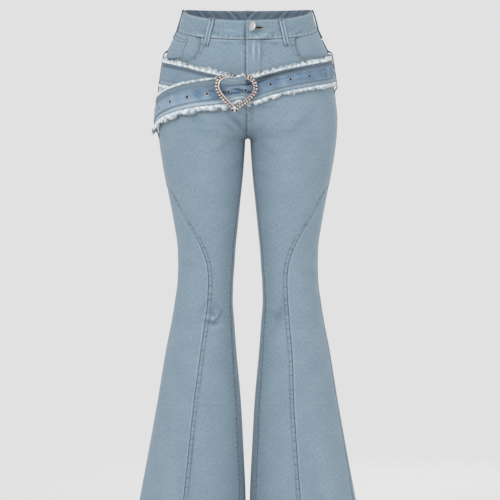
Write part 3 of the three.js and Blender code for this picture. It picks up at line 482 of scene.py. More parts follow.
def finish_piece(obj, material, replaces=()):
    obj.data.materials.append(material)
    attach(obj, "root")
    if replaces:
        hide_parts(*replaces)
    return obj


def finish_shell(obj, material, node):
    """The wrong side of the twill shows on the inner face, darkened as painted shade."""
    finish_piece(obj, material, [node])
    obj.data.materials.append(SHADED_INSIDE_DENIM)
    obj.modifiers["wall"].material_offset = 1


def make_object(name, bm):
    mesh = bpy.data.meshes.new(name)
    bm.to_mesh(mesh)
    bm.free()
    mesh.shade_smooth()
    obj = bpy.data.objects.new(name, mesh)
    bpy.context.scene.collection.objects.link(obj)
    return obj


def make_shell(name, points, normals, wall, tone):
    """A cloth shell over a grid of points in millimetres, rows first, with its cloth map and tone."""
    rows, columns = points.shape[:2]
    bm = bmesh.new()
    bmesh.ops.create_grid(bm, x_segments=columns - 1, y_segments=rows - 1, size=1)
    obj = make_object(name, bm)
    mesh = obj.data
    flat = np.zeros(len(mesh.vertices) * 3)
    mesh.vertices.foreach_get("co", flat)
    flat = flat.reshape(-1, 3)
    column = np.rint((flat[:, 0] + 1) / 2 * (columns - 1)).astype(int)
    row = np.rint((flat[:, 1] + 1) / 2 * (rows - 1)).astype(int)
    mesh.vertices.foreach_set("co", (points[row, column] * MM).ravel())
    along = np.linalg.norm(np.diff(points, axis=1), axis=-1)
    arc = np.concatenate([np.zeros((rows, 1)), along.cumsum(1)], 1)
    arc -= arc[:, columns // 2:columns // 2 + 1]
    cloth = np.stack([arc[row, column], points[row, column, 2]], 1) * MM
    corner = np.zeros(len(mesh.loops), int)
    mesh.loops.foreach_get("vertex_index", corner)
    mesh.uv_layers.new(name="cloth").data.foreach_set("uv", cloth[corner].ravel())
    mesh.attributes.new("tone", "FLOAT", "POINT").data.foreach_set("value", tone[row, column].ravel())
    mesh.update()
    middle = mesh.polygons[len(mesh.polygons) // 2]
    near = np.abs(points * MM - np.array(middle.center)).sum(-1).argmin()
    if Vector(normals.reshape(-1, 3)[near]).dot(middle.normal) < 0:
        mesh.flip_normals()
    solid = obj.modifiers.new("wall", "SOLIDIFY")
    solid.thickness = wall * MM
    solid.offset = -1
    solid.use_even_offset = False
    return obj


def arc_from_edges(points):
    """Distances in millimetres from a grid's left and right edges, along each row."""
    along = np.linalg.norm(np.diff(points, axis=1), axis=-1)
    arc = np.concatenate([np.zeros((points.shape[0], 1)), along.cumsum(1)], 1)
    return arc, arc[:, -1:] - arc


def declare_sheet(points):
    """Works out the largest width of the pattern piece; the value is not kept or used."""
    width = arc_from_edges(points)[0][:, -1].max() * MM


# %% [markdown]
# Where two panels meet, the edge rolls in and hides the join in a dark line. Where a seam is
# topstitched, the allowance lies under one side and lifts it, and it puckers between the rows of
# stitches. Washing marks the puckers as light and dark ticks, and the dark ticks in their dents
# are painted shade as well.

# %% Seam profiles
FELL = 6.2
ROLL = 1.3


def waviness(along, pitch, seed):
    """An uneven wave along a seam: three pitches that never line up."""
    a = np.sin(2 * np.pi * along / pitch + seed)
    b = np.sin(2 * np.pi * along / (pitch * 0.63) + 2.1 * seed)
    c = np.sin(2 * np.pi * along / (pitch * 2.7) + 0.7 * seed)
    return (a + 0.7 * b) * (0.75 + 0.35 * c) / 1.6


def seam_edge(kind, away, along, seed):
    """The lift in millimetres and the tone of a seam of one kind, at a distance from its edge."""
    roll = np.clip(1 - away / ROLL, 0, 1) ** 2
    lift, tone = -0.6 * roll, -0.75 * np.clip(1 - away / 1.4, 0, 1)
    ticks = waviness(along, 9.0, seed)
    # Dark ticks in the dents between puckers: painted shade as well as washed wear.
    dents = -smooth_step(-ticks * 1.6 - 0.1)
    if kind == "felled":
        inside = 1 - smooth_step((away - FELL) / 1.4)
        lift = lift + inside * (0.5 + 0.32 * ticks * smooth_step(away / 2))
        band = inside * smooth_step(away / 1.2)
        tone = tone + band * (0.05 + 0.75 * dents) - 0.9 * np.exp(-(((away - FELL - 0.4) / 0.8) ** 2))
    if kind == "ticked":
        close = np.exp(-(((away - 3.2) / 2.0) ** 2))
        lift = lift + 0.25 * ticks * close
        tone = tone + close * (0.2 + 1.3 * dents)
    if kind == "plain":
        tone = tone + 0.4 * np.exp(-(((away - 2.4) / 1.3) ** 2))
        lift = lift + 0.12 * ticks * np.exp(-away / 5)
    if kind == "none":
        lift, tone = 0 * away, 0 * away
    return lift, tone


def hem_edge(level):
    """The turned hem: thicker cloth up to its stitches, worn pale along the fold."""
    up = level - HEM_LEVEL
    inside = 1 - smooth_step((up - 15) / 1.5)
    return 0.45 * inside, 0.3 * np.exp(-(((up - 1.5) / 2.0) ** 2)) - 0.3 * np.exp(-(((up - 16.5) / 1.0) ** 2))


# %% [markdown]
# The leg panels: front, flared side and back of each leg. The same function drafts them from two
# edge angles at each level, so neighbours share their seam exactly.

# %% Leg panels
PITCH = 5.6
ROW_PITCH = 2.7
SURFACES = {}


def draft_panel(side, from_at, to_at, levels, columns, kinds, seed, top_at=None):
    """Points, normals and tone of a leg panel. Levels are rows, columns are fractions."""
    level = np.repeat(levels[:, None], len(columns), 1)
    t = np.repeat(columns[None, :], len(levels), 0)
    if top_at is not None:
        guess = mix(from_at(level), to_at(level), t)
        reach = smooth_step((level + 166) / (levels[0] + 166))
        level = level + (top_at(guess) - levels[0]) * reach
    angle = mix(from_at(level), to_at(level), t)
    base, normal = body_point(side, angle, level)
    away_from, away_to = arc_from_edges(base)
    lift_a, tone_a = seam_edge(kinds[0], away_from, level, seed)
    lift_b, tone_b = seam_edge(kinds[1], away_to, level, seed + 1.7)
    hem_lift, hem_tone = hem_edge(level)
    away_top = np.abs(level[0:1] - level)
    lift_t, tone_t = seam_edge(kinds[2], away_top, angle * 2.4, seed + 3.1)
    crease = crease_depth(side, angle, base[..., 2])
    lift = lift_a + lift_b + lift_t + hem_lift + crease
    # Creases also darken the tone in their hollows and lighten it on their ridges: painted shade and
    # highlight.
    tone = tone_a + tone_b + tone_t + hem_tone + 0.16 * crease
    return base + normal * lift[..., None], normal, tone, base


def leg_levels(top, foot=HEM_LEVEL):
    near = [top - s for s in EDGE_STEPS]
    hem = [foot + s for s in reversed((0, 0.8, 1.8, 3, 6, 10, 13, 14.5, 15.5, 16.5, 18))]
    count = round((near[-1] - hem[0]) / ROW_PITCH)
    return np.array(near[:-1] + list(np.linspace(near[-1], hem[0], count + 1)) + hem[1:], float)


def crotch_levels(top):
    """Leg levels with closer rows where the rise curves round to the crotch."""
    levels = leg_levels(top)
    near = CROTCH + np.array([-6, -4, -2.5, -1.2, -0.4, 0.4, 1.2, 2.5, 4, 6, 8.5, 12, 16])
    away = levels[np.abs(levels[:, None] - near[None, :]).min(1) > 1.6]
    return np.sort(np.concatenate([away, near]))[::-1]


SIDE_TOP = -315


def front_outer(side):
    def at(level):
        leg = np.minimum(flare_seam[side](level), side_seam[side](level)) - gap_angle(level)
        return np.where(level > SCOOP[-2, 0], np.minimum(scoop_at(level), leg), leg)
    return at


def side_inner(side):
    return lambda level: np.minimum(flare_seam[side](level) + gap_angle(level),
                                    side_seam[side](level) - gap_angle(level) - 0.4)


def front_inner(level):
    return inner_edge(level, False) + np.where(level > CROTCH, 0, gap_angle(level))


def back_inner(level):
    return inner_edge(level, True) - np.where(level > CROTCH, 0, gap_angle(level))


def yoke_seam(angle):
    down = (angle - 92) / 88
    return mix(-78, -112, 0.4 * smooth_step(down) + 0.6 * down)


def make_panel(name, draft, wall=DENIM, material=DENIM_BLUE):
    points, normal, tone, base = draft
    # Adds the painted shade and highlight marks, and a few worn streaks, in front.
    tone = tone + shade_and_wear_tone(points)
    obj = make_shell(f"{name}_cloth", points, normal, wall, tone)
    finish_shell(obj, material, name)
    SURFACES[name] = (points, normal)
    declare_sheet(base)
    return obj


for side in (1, -1):
    word = side_name[side]
    outer = front_outer(side)
    columns = edge_spacing(250, PITCH)
    levels = crotch_levels(BAND_FOOT - SEAM_GAP)
    make_panel(f"front_{word}", draft_panel(
        side, front_inner, outer, levels, columns, ("ticked", "felled", "plain"), 1.0 + side))
    levels = leg_levels(SIDE_TOP)
    make_panel(f"side_{word}", draft_panel(
        side, side_inner(side), lambda z: side_seam[side](z) - gap_angle(z), levels,
        edge_spacing(190, PITCH), ("plain", "plain", "none"), 4.0 + side))
    levels = crotch_levels(-112 - SEAM_GAP)
    make_panel(f"back_{word}", draft_panel(
        side, lambda z: side_seam[side](z) + gap_angle(z), back_inner, levels, edge_spacing(300, PITCH),
        ("felled", "felled", "plain"), 7.0 + side, top_at=lambda a: yoke_seam(np.minimum(180, a)) - SEAM_GAP))

# %% [markdown]
# Yokes, the hip pieces behind the scoop pockets and the small coin pocket are cut from the same
# cloth. The hip piece is flush at the side and lies behind the front panel at the mouth.

# %% Yokes and pockets
def facing_off(level, angle):
    round_it = (angle - scoop_at(level) - 1.5) / 8
    above = (level - scoop_foot_at(angle) - 3) / 12
    return mix(-3.4, 0, smooth_step(np.minimum(round_it, above)))


def grid_of(row_values, column_values):
    return np.meshgrid(row_values, column_values, indexing="ij")


for side in (1, -1):
    word = side_name[side]
    down, across = grid_of(edge_spacing(60, 4), edge_spacing(150, PITCH))
    guess = mix(92, 180, across)
    level = mix(BAND_FOOT - SEAM_GAP, yoke_seam(guess) + SEAM_GAP / 2, down)
    angle = mix(side_seam[side](level) + gap_angle(level), middle_angle(level, True), across)
    base, normal = body_point(side, angle, level)
    away_a, away_b = arc_from_edges(base)
    foot = (1 - down) * (BAND_FOOT - yoke_seam(guess))
    parts = [seam_edge("plain", away_a, level, 2.0), seam_edge("felled", away_b, level, 2.5),
             seam_edge("felled", foot, angle * 2.4, 3.0),
             seam_edge("plain", BAND_FOOT - level, angle * 2.4, 3.5)]
    lift, tone = sum(p[0] for p in parts), sum(p[1] for p in parts)
    make_panel(f"yoke_{word}", (base + normal * lift[..., None], normal, tone, base))

    down, across = grid_of(edge_spacing(78, 3), edge_spacing(130, 3))
    level = mix(BAND_FOOT - SEAM_GAP, -116, down)
    angle = mix(29, side_seam[side](level) - 1.6 * gap_angle(level), across)
    base, normal = body_point(side, angle, level)
    base = base + normal * facing_off(level, angle)[..., None]
    away = arc_from_edges(base)[1]
    lift, tone = seam_edge("plain", away, level, 5.0)
    # The facing is darkened under the front panel and along the mouth: painted shadow of the mouth.
    under = smooth_step(np.minimum((angle - scoop_at(level)) / 3, (level - scoop_foot_at(angle)) / 5))
    tone = tone - 0.7 * (1 - under) - 0.15 * np.exp(-(((angle - scoop_at(level)) / 3) ** 2))
    make_panel(f"pocket_facing_{word}", (base + normal * lift[..., None], normal, tone, base))

down, across = grid_of(edge_spacing(45, 2.5), edge_spacing(60, 2.5))
angle = mix(53, 82, across)
level = mix(mix(-44, -42, across), mix(-78, -88, across), down)
base, normal = body_point(-1, angle, level)
base = base + normal * (facing_off(level, angle) + LAY_GAP + 1.2)[..., None]
away_a, away_b = arc_from_edges(base)
top = down * 40
tone = 0.9 * np.exp(-(((top - 1) / 1.2) ** 2)) + 0.7 * np.exp(-(((away_a - 1.2) / 1.2) ** 2))
# Dark lines beside the rows of stitches, each with a pale line after it, are painted shade and highlight.
for line in (4.0, 9.5):
    tone = (tone - 0.9 * np.exp(-(((top - line) / 1.1) ** 2))
            + 0.5 * np.exp(-(((top - line - 2.2) / 1.1) ** 2)))
tone = tone - 0.9 * np.exp(-(((away_a - 4.5) / 1.1) ** 2)) + 0.4 * np.exp(-(((away_a - 6.8) / 1.2) ** 2))
lift = -0.3 * np.clip(1 - away_a / 1.5, 0, 1) - 0.3 * np.clip(1 - top / 1.5, 0, 1)
make_panel("coin_pocket", (base + normal * lift[..., None], normal, tone, base), wall=1.0)

# %% [markdown]
# The plain patch pockets behind are a guess, as on most jeans of this cut. Their sides close in a
# little and the foot is a point. Their edges are turned in, so they round down to the panel.

# %% Back pockets and fly
def angle_behind(x, level):
    z = height_of(level, 150.0)
    centre, half = (outer_at(z) + inner_at(z)) / 2, (outer_at(z) - inner_at(z)) / 2
    return 180 - np.degrees(np.arcsin((x - centre) / half))


BACK_POCKET_TOP = -126

for side in (1, -1):
    down, across = grid_of(edge_spacing(125, 3), edge_spacing(104, 3) * 2 - 1)
    length = 110 + 24 * (1 - np.abs(across))
    level = BACK_POCKET_TOP - length * down - 4 * across
    x = 84 + across * mix(52, 45, down)
    base, normal = body_point(side, angle_behind(x, level), level)
    base = base + normal * (LAY_GAP + 2)
    away_a, away_b = arc_from_edges(base)
    foot, head = (1 - down) * length, down * length
    edge = np.minimum(np.minimum(away_a, away_b), np.minimum(foot, head))
    lift = -0.9 * np.clip(1 - edge / 1.8, 0, 1) ** 2 + 0.3 * np.exp(-(((edge - 4) / 3) ** 2))
    ticks = waviness(level + x, 8.0, 1.0 + side)
    tone = 0.9 * np.exp(-(((edge - 1.4) / 1.2) ** 2)) + 0.5 * ticks * np.exp(-(((edge - 4.5) / 2.5) ** 2))
    tone = tone - 0.9 * np.clip(1 - edge / 0.8, 0, 1) - 0.5 * np.exp(-(((edge - 8.5) / 1.0) ** 2))
    tone = tone - 0.6 * np.exp(-(((head - 15) / 1.2) ** 2))
    make_panel(f"back_pocket_{side_name[side]}", (base + normal * lift[..., None], normal, tone, base),
               wall=1.2)

down, across = grid_of(edge_spacing(109, 3), edge_spacing(30, 1.5))
level = mix(BAND_FOOT - SEAM_GAP, -147, down)
width = 28 * np.sqrt(np.maximum(0.03, 1 - np.maximum(0, (down - 0.62) / 0.38) ** 2))
x = mix(-2.6, width - 2.6, across)
centre, half = (outer_at(level) + inner_at(level)) / 2, (outer_at(level) - inner_at(level)) / 2
fly_angle = np.degrees(np.arcsin((np.abs(x) - centre) / half))
right_side, right_normal = body_point(-1, fly_angle, level)
left_side, left_normal = body_point(1, fly_angle, level)
is_right = (x < 0)[..., None]
base, normal = np.where(is_right, right_side, left_side), np.where(is_right, right_normal, left_normal)
wall = mix(1.2, 0.6, across)
away_a, away_b = arc_from_edges(base)
lift = LAY_GAP + wall - 0.5 * np.clip(1 - away_a / 1.3, 0, 1) ** 2 - 0.4 * np.clip(1 - away_b / 1.5, 0, 1)
tone = 0.95 * np.exp(-(((away_a - 1.2) / 1.2) ** 2)) - 0.15 * np.exp(-(((away_b - 1.5) / 2.0) ** 2))
tone = tone + 0.12 * waviness(level, 13.0, 4.0) * np.exp(-away_a / 8)
make_panel("fly", (base + normal * lift[..., None], normal, tone, base), wall=0.9)

# %% [markdown]
# The waistband is a folded strip in two halves; the left half's end laps over the right one's.
# It is worn pale along its fold at the top, and puckers a little between its rows of stitches.

# %% Waistband
BAND_WALL = 2.4
BAND_PROUD = 0.8
LAP = 2.6
UNDERLAP = 26


def band_points(side, angle, level):
    lap_ends = np.degrees(np.arcsin((UNDERLAP + 4) / outer_at(0)))
    lap = smooth_step((lap_ends + 9 - angle) / 9) if side > 0 else 0 * angle
    base, normal = body_point(side, angle, level)
    return base + normal * (BAND_PROUD + lap * (BAND_WALL + LAY_GAP))[..., None], normal


for side in (1, -1):
    start = np.degrees(np.arcsin((LAP if side > 0 else UNDERLAP) / outer_at(0)))
    down, across = grid_of(edge_spacing(38, 2.4), edge_spacing(350, 3.2))
    level = mix(0, BAND_FOOT, down)
    angle = mix(-start, middle_angle(level, True), across)
    base, normal = band_points(side, angle, level)
    away_a, away_b = arc_from_edges(base)
    head, foot = -level, level - BAND_FOOT
    pucker = waviness(away_a, 10.0, 2.0 + side)
    lift = -0.7 * np.clip(1 - head / 1.6, 0, 1) ** 2 - 0.7 * np.clip(1 - foot / 1.4, 0, 1) ** 2
    lift = lift + 0.16 * pucker * (np.exp(-(((foot - 5) / 4) ** 2)) + np.exp(-(((head - 5) / 4) ** 2)))
    lift = lift - 0.7 * np.clip(1 - away_a / 1.3, 0, 1) ** 2 - 0.5 * np.clip(1 - away_b / 1.3, 0, 1) ** 2
    tone = 0.5 * np.exp(-(((head - 3.0) / 1.4) ** 2)) - 0.8 * np.clip(1 - head / 1.1, 0, 1)
    tone = tone + (0.6 + 0.5 * pucker) * np.exp(-(((foot - 2.0) / 1.4) ** 2))
    tone = tone + 0.8 * pucker * np.exp(-(((foot - 5.5) / 3) ** 2)) - 0.9 * np.clip(1 - foot / 0.9, 0, 1)
    tone = tone + 0.35 * pucker * np.exp(-(((head - 6) / 3) ** 2))
    # At the back the band crumples, and its tone follows the crumples: painted shade and highlight.
    crumple = waviness(away_a + 1.6 * level, 21.0, 5.0) * smooth_step((angle - 105) / 20)
    tone = tone + 0.45 * np.exp(-(((away_a - 1.5) / 1.4) ** 2)) - 0.12 + 0.8 * crumple
    lift = lift + 0.7 * crumple
    draft = (base + normal * lift[..., None], normal, tone, base)
    make_panel(f"waistband_{side_name[side]}", draft, wall=BAND_WALL)

# %% [markdown]
# Belt loops are folded strips with a ridge down each edge, tacked flat at both ends and bowed out
# between. The hip loops are narrow and stand well off, because the belt runs inside them.

# %% Loops
LOOP_TOP = 0.5
LOOP_LENGTH = 54
LOOP_WIDTH = 11
LOOP_WALL = 2.0
HIP_LOOP_WIDTH = 10.4
HIP_LOOP_TOP = -57
HIP_LOOPS = {1: (-137, -133, 8, 6.5), -1: (-222, -221, 13, 5.9)}  # foot, returns, ease, clear
HIP_LOOP_LEAVES = -51
HIP_LOOP_RISE = 8


def loop_points(side, angle, level, width, across):
    per_degree = np.linalg.norm(body_surface(side, angle + 0.5, level)
                                - body_surface(side, angle - 0.5, level), axis=-1)
    return body_point(side, angle + across * width / 2 / per_degree, level)


def make_loop(name, points, normal, down, across, wall, material):
    edge = np.abs(across)
    ridge = 0.35 * np.exp(-(((edge - 0.62) / 0.16) ** 2)) - 0.6 * np.clip((edge - 0.86) / 0.14, 0, 1) ** 2
    tacks = np.exp(-(((down - 0.045) / 0.03) ** 2)) + np.exp(-(((down - 0.955) / 0.03) ** 2))
    lift = ridge - 0.35 * tacks
    tone = 0.9 * np.exp(-(((edge - 0.66) / 0.18) ** 2)) - 0.7 * np.exp(-((across / 0.32) ** 2)) - 0.9 * tacks
    # The edges, seen edge-on, are darkened as painted shade.
    tone = tone - 1.3 * np.clip((edge - 0.86) / 0.14, 0, 1)
    obj = make_shell(f"{name}_cloth", points + normal * lift[..., None], normal, wall, tone)
    finish_shell(obj, material, name)
    SURFACES[name] = (points, normal)
    declare_sheet(points)


def make_belt_loop(name, side, angle, bow):
    down, across = grid_of(np.linspace(0, 1, 44), np.linspace(-1, 1, 13))
    level = LOOP_TOP - LOOP_LENGTH * down
    seat = mix(BAND_PROUD, 0, smooth_step((BAND_FOOT + 6 - level) / 10))
    off = seat + LAY_GAP + LOOP_WALL + bow * np.sin(math.pi * np.minimum(1, down / 0.7))
    base, normal = loop_points(side, angle, level, LOOP_WIDTH, across)
    make_loop(name, base + normal * off[..., None], normal, down, across, LOOP_WALL, DENIM_BLUE)


DRAWS_IN = -126  # below the belt the strap comes in towards the hip
DRAWS_IN_OVER = 16
DRAWN_CLEAR = 2.9


def make_hip_loop(name, side, angle):
    """A long strap at the side that stands off the hip where the belt runs inside it."""
    foot, returns, ease, clear = HIP_LOOPS[side]
    down, across = grid_of(np.linspace(0, 1, 70), np.linspace(-1, 1, 13))
    level = mix(HIP_LOOP_TOP, foot, down)
    z = height_of(level, angle)
    tucked = HIP_LOOP_RISE * (1 + across) / 4
    away = smooth_step((HIP_LOOP_LEAVES - tucked - z) / (HIP_LOOP_RISE - tucked))
    stood = away * smooth_step((z - returns) / ease)
    stand = mix(clear, DRAWN_CLEAR, smooth_step((DRAWS_IN - z) / DRAWS_IN_OVER))
    off = mix(LAY_GAP + 1, stand + 1, stood)
    base, normal = loop_points(side, angle, level, HIP_LOOP_WIDTH, across)
    make_loop(name, base + normal * off[..., None], normal, down, across, 1.0, BELT_BLUE)


for side in (1, -1):
    word = side_name[side]
    make_belt_loop(f"loop_front_{word}", side, 29.3 if side > 0 else 31.7, 0.8)
    make_belt_loop(f"loop_side_{word}", side, 89, 2.0 if side > 0 else 1.0)
    make_hip_loop(f"hip_loop_{word}", side, 88)
make_belt_loop("loop_back", 1, 180, 1.0)

# %% [markdown]
# The hip belt is a ribbon. Its middle line gives a height at each angle round the hips, and the
# cloth spans the hollow between the legs. Its end comes through the buckle and wraps the right
# hip as the tail, lower and further off, which the photograph shows on the left of the picture.
# The tail's top edge climbs out over the notch of the heart and hides it, as in the photograph.

# %% Belt form
BELT_LINE = np.array([
    (-180, -76), (-135, -83), (-90, -96), (-68, -102), (-46, -112), (-28, -124), (-10, -134),
    (0, -136), (17, -124), (28, -116), (52, -104), (90, -91), (135, -80), (180, -76),
], float)
TAIL_LINE = np.array([
    (-108, -198), (-98, -189), (-84, -175), (-70, -164), (-53, -154), (-40, -148), (-20, -141),
    (-8, -138), (1, -136), (10, -136),
], float)
BELT_CLOTH = 46
BELT_WALL = 2.2
BELT_OFF = 2.4
TAIL_OFF = 5.2
TAIL_STARTS = 0.9
TAIL_ENDS = -97
BELT_STARTS = -10.5
STRIP_STARTS = -104
BELT_ENDS = TAIL_STARTS + 0.75 - 360
BAR_ANGLE = -8
MM_PER_DEGREE = 2.75
belt_height, tail_height = curve(BELT_LINE), curve(TAIL_LINE)


def hip_surface(angle, z):
    centre, half = (outer_at(z) + inner_at(z)) / 2, (outer_at(z) - inner_at(z)) / 2
    flat = 90 * centre / (centre + 1.3 * half)
    behind = np.abs(angle) > 90
    from_middle = np.where(behind, 180 - np.abs(angle), np.abs(angle))
    depth = np.where(behind, back_at(z), front_at(z))
    in_flat = from_middle < flat
    across = np.where(in_flat, centre * from_middle / np.maximum(flat, 0.001), centre)
    turn = np.radians(np.where(in_flat, 0, (from_middle - flat) * 90 / (90 - flat)))
    x = np.where(angle < 0, -1, 1) * (across + half * np.sin(turn))
    return np.stack([x, depth * np.cos(turn) * np.where(behind, 1, -1), z], -1)


def turn_of(angle):
    return np.where(angle < -180, angle + 360, angle)


def ribbon_point(ribbon, angle, across, above):
    """Points of the belt or its tail: angle along it, across it, and above its outer face."""
    height = belt_height if ribbon == "belt" else tail_height
    slope = (height(turn_of(angle + 1)) - height(turn_of(angle - 1))) / 2 / MM_PER_DEGREE
    tilt = 1 / np.sqrt(1 + slope**2)
    pinch = 1 - 0.24 * np.exp(-(((turn_of(angle) - BAR_ANGLE) / 6) ** 2))
    across = across * pinch
    round_it = turn_of(angle) - across * slope * tilt / MM_PER_DEGREE
    round_it = np.where(round_it > 180, round_it - 360, np.where(round_it < -180, round_it + 360, round_it))
    z = height(turn_of(angle)) + across * tilt
    off = BELT_OFF + BELT_WALL + above
    if ribbon == "tail":
        climb = (smooth_step((angle + 20.5) / 2.6) * smooth_step((0.2 - angle) / 2.4)
                 * smooth_step((across - 1) / 11))
        z = z + 3.5 * climb
        off = off + 13.2 * climb
        off = off + 0.35 * smooth_step((angle - TAIL_STARTS + 0.4) / 0.4)
        over_bar = smooth_step((TAIL_STARTS - angle) / 7)
        over_loop = smooth_step((-angle - 45) / 30)
        off = off + over_bar * 3.9 + over_loop * (TAIL_OFF - BELT_OFF - 3.9)
    outward = np.stack([np.sin(np.radians(round_it)), -np.cos(np.radians(round_it)), 0 * round_it], -1)
    normal = outward_normal(hip_surface, round_it, z, 1.5, 3.0, outward)
    return hip_surface(round_it, z) + normal * np.asarray(off)[..., None], normal


# %% [markdown]
# The belt's cloth has two rows of stitches beside a darker centre strip, and it draws together
# into creases where it passes the buckle.

# %% Belt cloth and strips
JOIN_LAP = 1.4
STRIP_WIDTH = 22
STRIP_WALL = 0.8
TAIL_TOP_EXTRA = 4.5  # the tail's cloth is this much wider at its top edge, under a short fray


def pucker_at_buckle(angle, across):
    """Creases that run out from the buckle along the belt."""
    near = np.exp(-(((turn_of(angle) - BAR_ANGLE) / 13) ** 2))
    lines = 0.9 * np.exp(-(((across - 7) / 2.2) ** 2)) - 1.1 * np.exp(-(((across + 4.5) / 2.0) ** 2))
    return near * (lines + 0.5 * np.exp(-(((across + 11) / 2.5) ** 2)))


def make_ribbon(name, ribbon, start, end, half_width, above, wall, material, is_strip):
    length = abs(end - start) * 3.0
    down, along = grid_of(np.linspace(1, -1, 25 if is_strip else 41), edge_spacing(length, 3.4))
    angle, across = mix(start, end, along), down * half_width
    if name == "belt_tail":
        across = across + TAIL_TOP_EXTRA * np.maximum(0, down) ** 2
    base, normal = ribbon_point(ribbon, angle, across, above)
    edge = half_width - np.abs(across)
    swell = waviness(angle * 3, 42.0, 1.0 if ribbon == "belt" else 2.0)
    ripple = 0.25 * swell * np.abs(across) / half_width
    crease = pucker_at_buckle(angle, across)
    if is_strip:
        lift = -0.35 * np.clip(1 - edge / 1.6, 0, 1) ** 2
        streak = waviness(angle * 3 + 4 * np.sin(angle), 7.0, 3.0)
        tone = (0.5 * np.exp(-(((edge - 0.9) / 0.9) ** 2)) + 0.25 * swell
                + 0.3 * streak * (0.4 + 0.6 * across / half_width))
        tone = tone - 0.35 * smooth_step((across - 7) / 3) + 0.15 * smooth_step((-4 - across) / 4)
        tone = tone + 0.75 * smooth_step((-base[..., 0] - 70) / 90) * (ribbon == "tail")
    else:
        welt = np.exp(-(((across + 17) / 2.2) ** 2))
        lift = (0.45 * welt - 0.3 * np.exp(-(((across - 15.5) / 1.0) ** 2))
                - 0.3 * np.exp(-(((across + 20.6) / 0.8) ** 2)))
        rows = np.sin(2 * math.pi * across / 3.7) * smooth_step((across - 13.5) / 1.5)
        tone = (0.35 * welt - 0.5 * np.exp(-(((across + 20.6) / 1.0) ** 2))
                - 0.35 * np.exp(-(((across - 15.5) / 1.1) ** 2)))
        # The cloth above the strip is darkened, more on the belt than on the tail: painted shade.
        if ribbon == "tail":
            tone = tone + (0.5 * welt + 0.55 * rows + 0.15)
        else:
            tone = tone + (0.3 * rows - 0.45 * smooth_step((across - 12) / 2))
        tone = tone - 0.4 * smooth_step((across - 11) / 4) - 0.4 * np.exp(-(((across + 12) / 1.2) ** 2))
    # Painted shade and highlight of the creases at the buckle, which also move the cloth a little.
    painted_crease_marks = shade_and_wear_tone(base, BELT_CREASE_SHADE_MARKS)
    lift = (lift + (ripple if is_strip else ripple * 0.6) * 0.5 + 0.35 * np.minimum(crease, 0.3)
            + 0.3 * np.minimum(painted_crease_marks, 0.4))
    # The buckle's creases also lighten the tone on their ridges and darken it in their hollows: painted shade
    # and highlight.
    tone = tone + 0.3 * crease + painted_crease_marks
    obj = make_shell(f"{name}_cloth", base + normal * lift[..., None], normal, wall, tone)
    finish_shell(obj, material, name)
    SURFACES[name] = (base, normal)
    declare_sheet(base)
    return obj


make_ribbon("belt", "belt", BELT_STARTS, BELT_ENDS, BELT_CLOTH / 2, 0, BELT_WALL, BELT_BLUE,
            False)
make_ribbon("belt_tail", "tail", TAIL_STARTS + JOIN_LAP, TAIL_ENDS, BELT_CLOTH / 2, 0, BELT_WALL,
            BELT_BLUE, False)
above = LAY_GAP + STRIP_WALL
make_ribbon("belt_strip", "belt", STRIP_STARTS, BELT_ENDS, STRIP_WIDTH / 2, above, STRIP_WALL,
            STRIP_BLUE, True)
make_ribbon("tail_strip", "tail", TAIL_STARTS + JOIN_LAP, TAIL_ENDS, STRIP_WIDTH / 2, above, STRIP_WALL,
            STRIP_BLUE, True)

# %% [markdown]
# Frayed edges are hundreds of loose cotton ends in tufts. Each thread is a thin three-sided
# taper along a short curve. One thread's shape is made once, and an array of copies is bent and
# turned by a seeded random generator into one joined mesh for each edge.

# %% Joined copies
def joined_mesh(name, points, faces):
    """One mesh from an array of copies: points is copies x vertices x 3, faces the shape's own."""
    count, size = points.shape[:2]
    mesh = bpy.data.meshes.new(name)
    first_vertex = (np.arange(count) * size)[:, None, None]
    all_faces = (np.asarray(faces)[None, :, :] + first_vertex).reshape(-1, len(faces[0]))
    mesh.from_pydata((points.reshape(-1, 3) * MM).tolist(), [], all_faces.tolist())
    mesh.update()
    mesh.shade_smooth()
    obj = bpy.data.objects.new(name, mesh)
    bpy.context.scene.collection.objects.link(obj)
    return obj


def thread_shape(sections):
    """Unit thread from a bmesh cone: three sides, cut across, as vertices and faces."""
    bm = bmesh.new()
    bmesh.ops.create_cone(bm, cap_ends=False, segments=3, radius1=1, radius2=0.35, depth=1)
    bmesh.ops.translate(bm, verts=bm.verts, vec=(0, 0, 0.5))
    for i in range(1, sections):
        geom = bm.verts[:] + bm.edges[:] + bm.faces[:]
        bmesh.ops.bisect_plane(bm, geom=geom, plane_co=(0, 0, i / sections), plane_no=(0, 0, 1))
    bmesh.ops.triangulate(bm, faces=bm.faces)
    bm.verts.ensure_lookup_table()
    points = np.array([v.co[:] for v in bm.verts])
    faces = [[v.index for v in f.verts] for f in bm.faces]
    bm.free()
    return points, faces


THREAD_POINTS, THREAD_FACES = thread_shape(3)
print("thread:", len(THREAD_POINTS), "vertices,", len(THREAD_FACES), "triangles")

# %% [markdown]
# The belt's edges are unwoven, and the loose weft is drawn together into tufts that lean and curl
# their own way. One seeded generator for each edge sets them, so each run gives the same fray.

# %% Frayed edges
FRINGE_LENGTH = 11
THREADS_PER_MM = 8.2


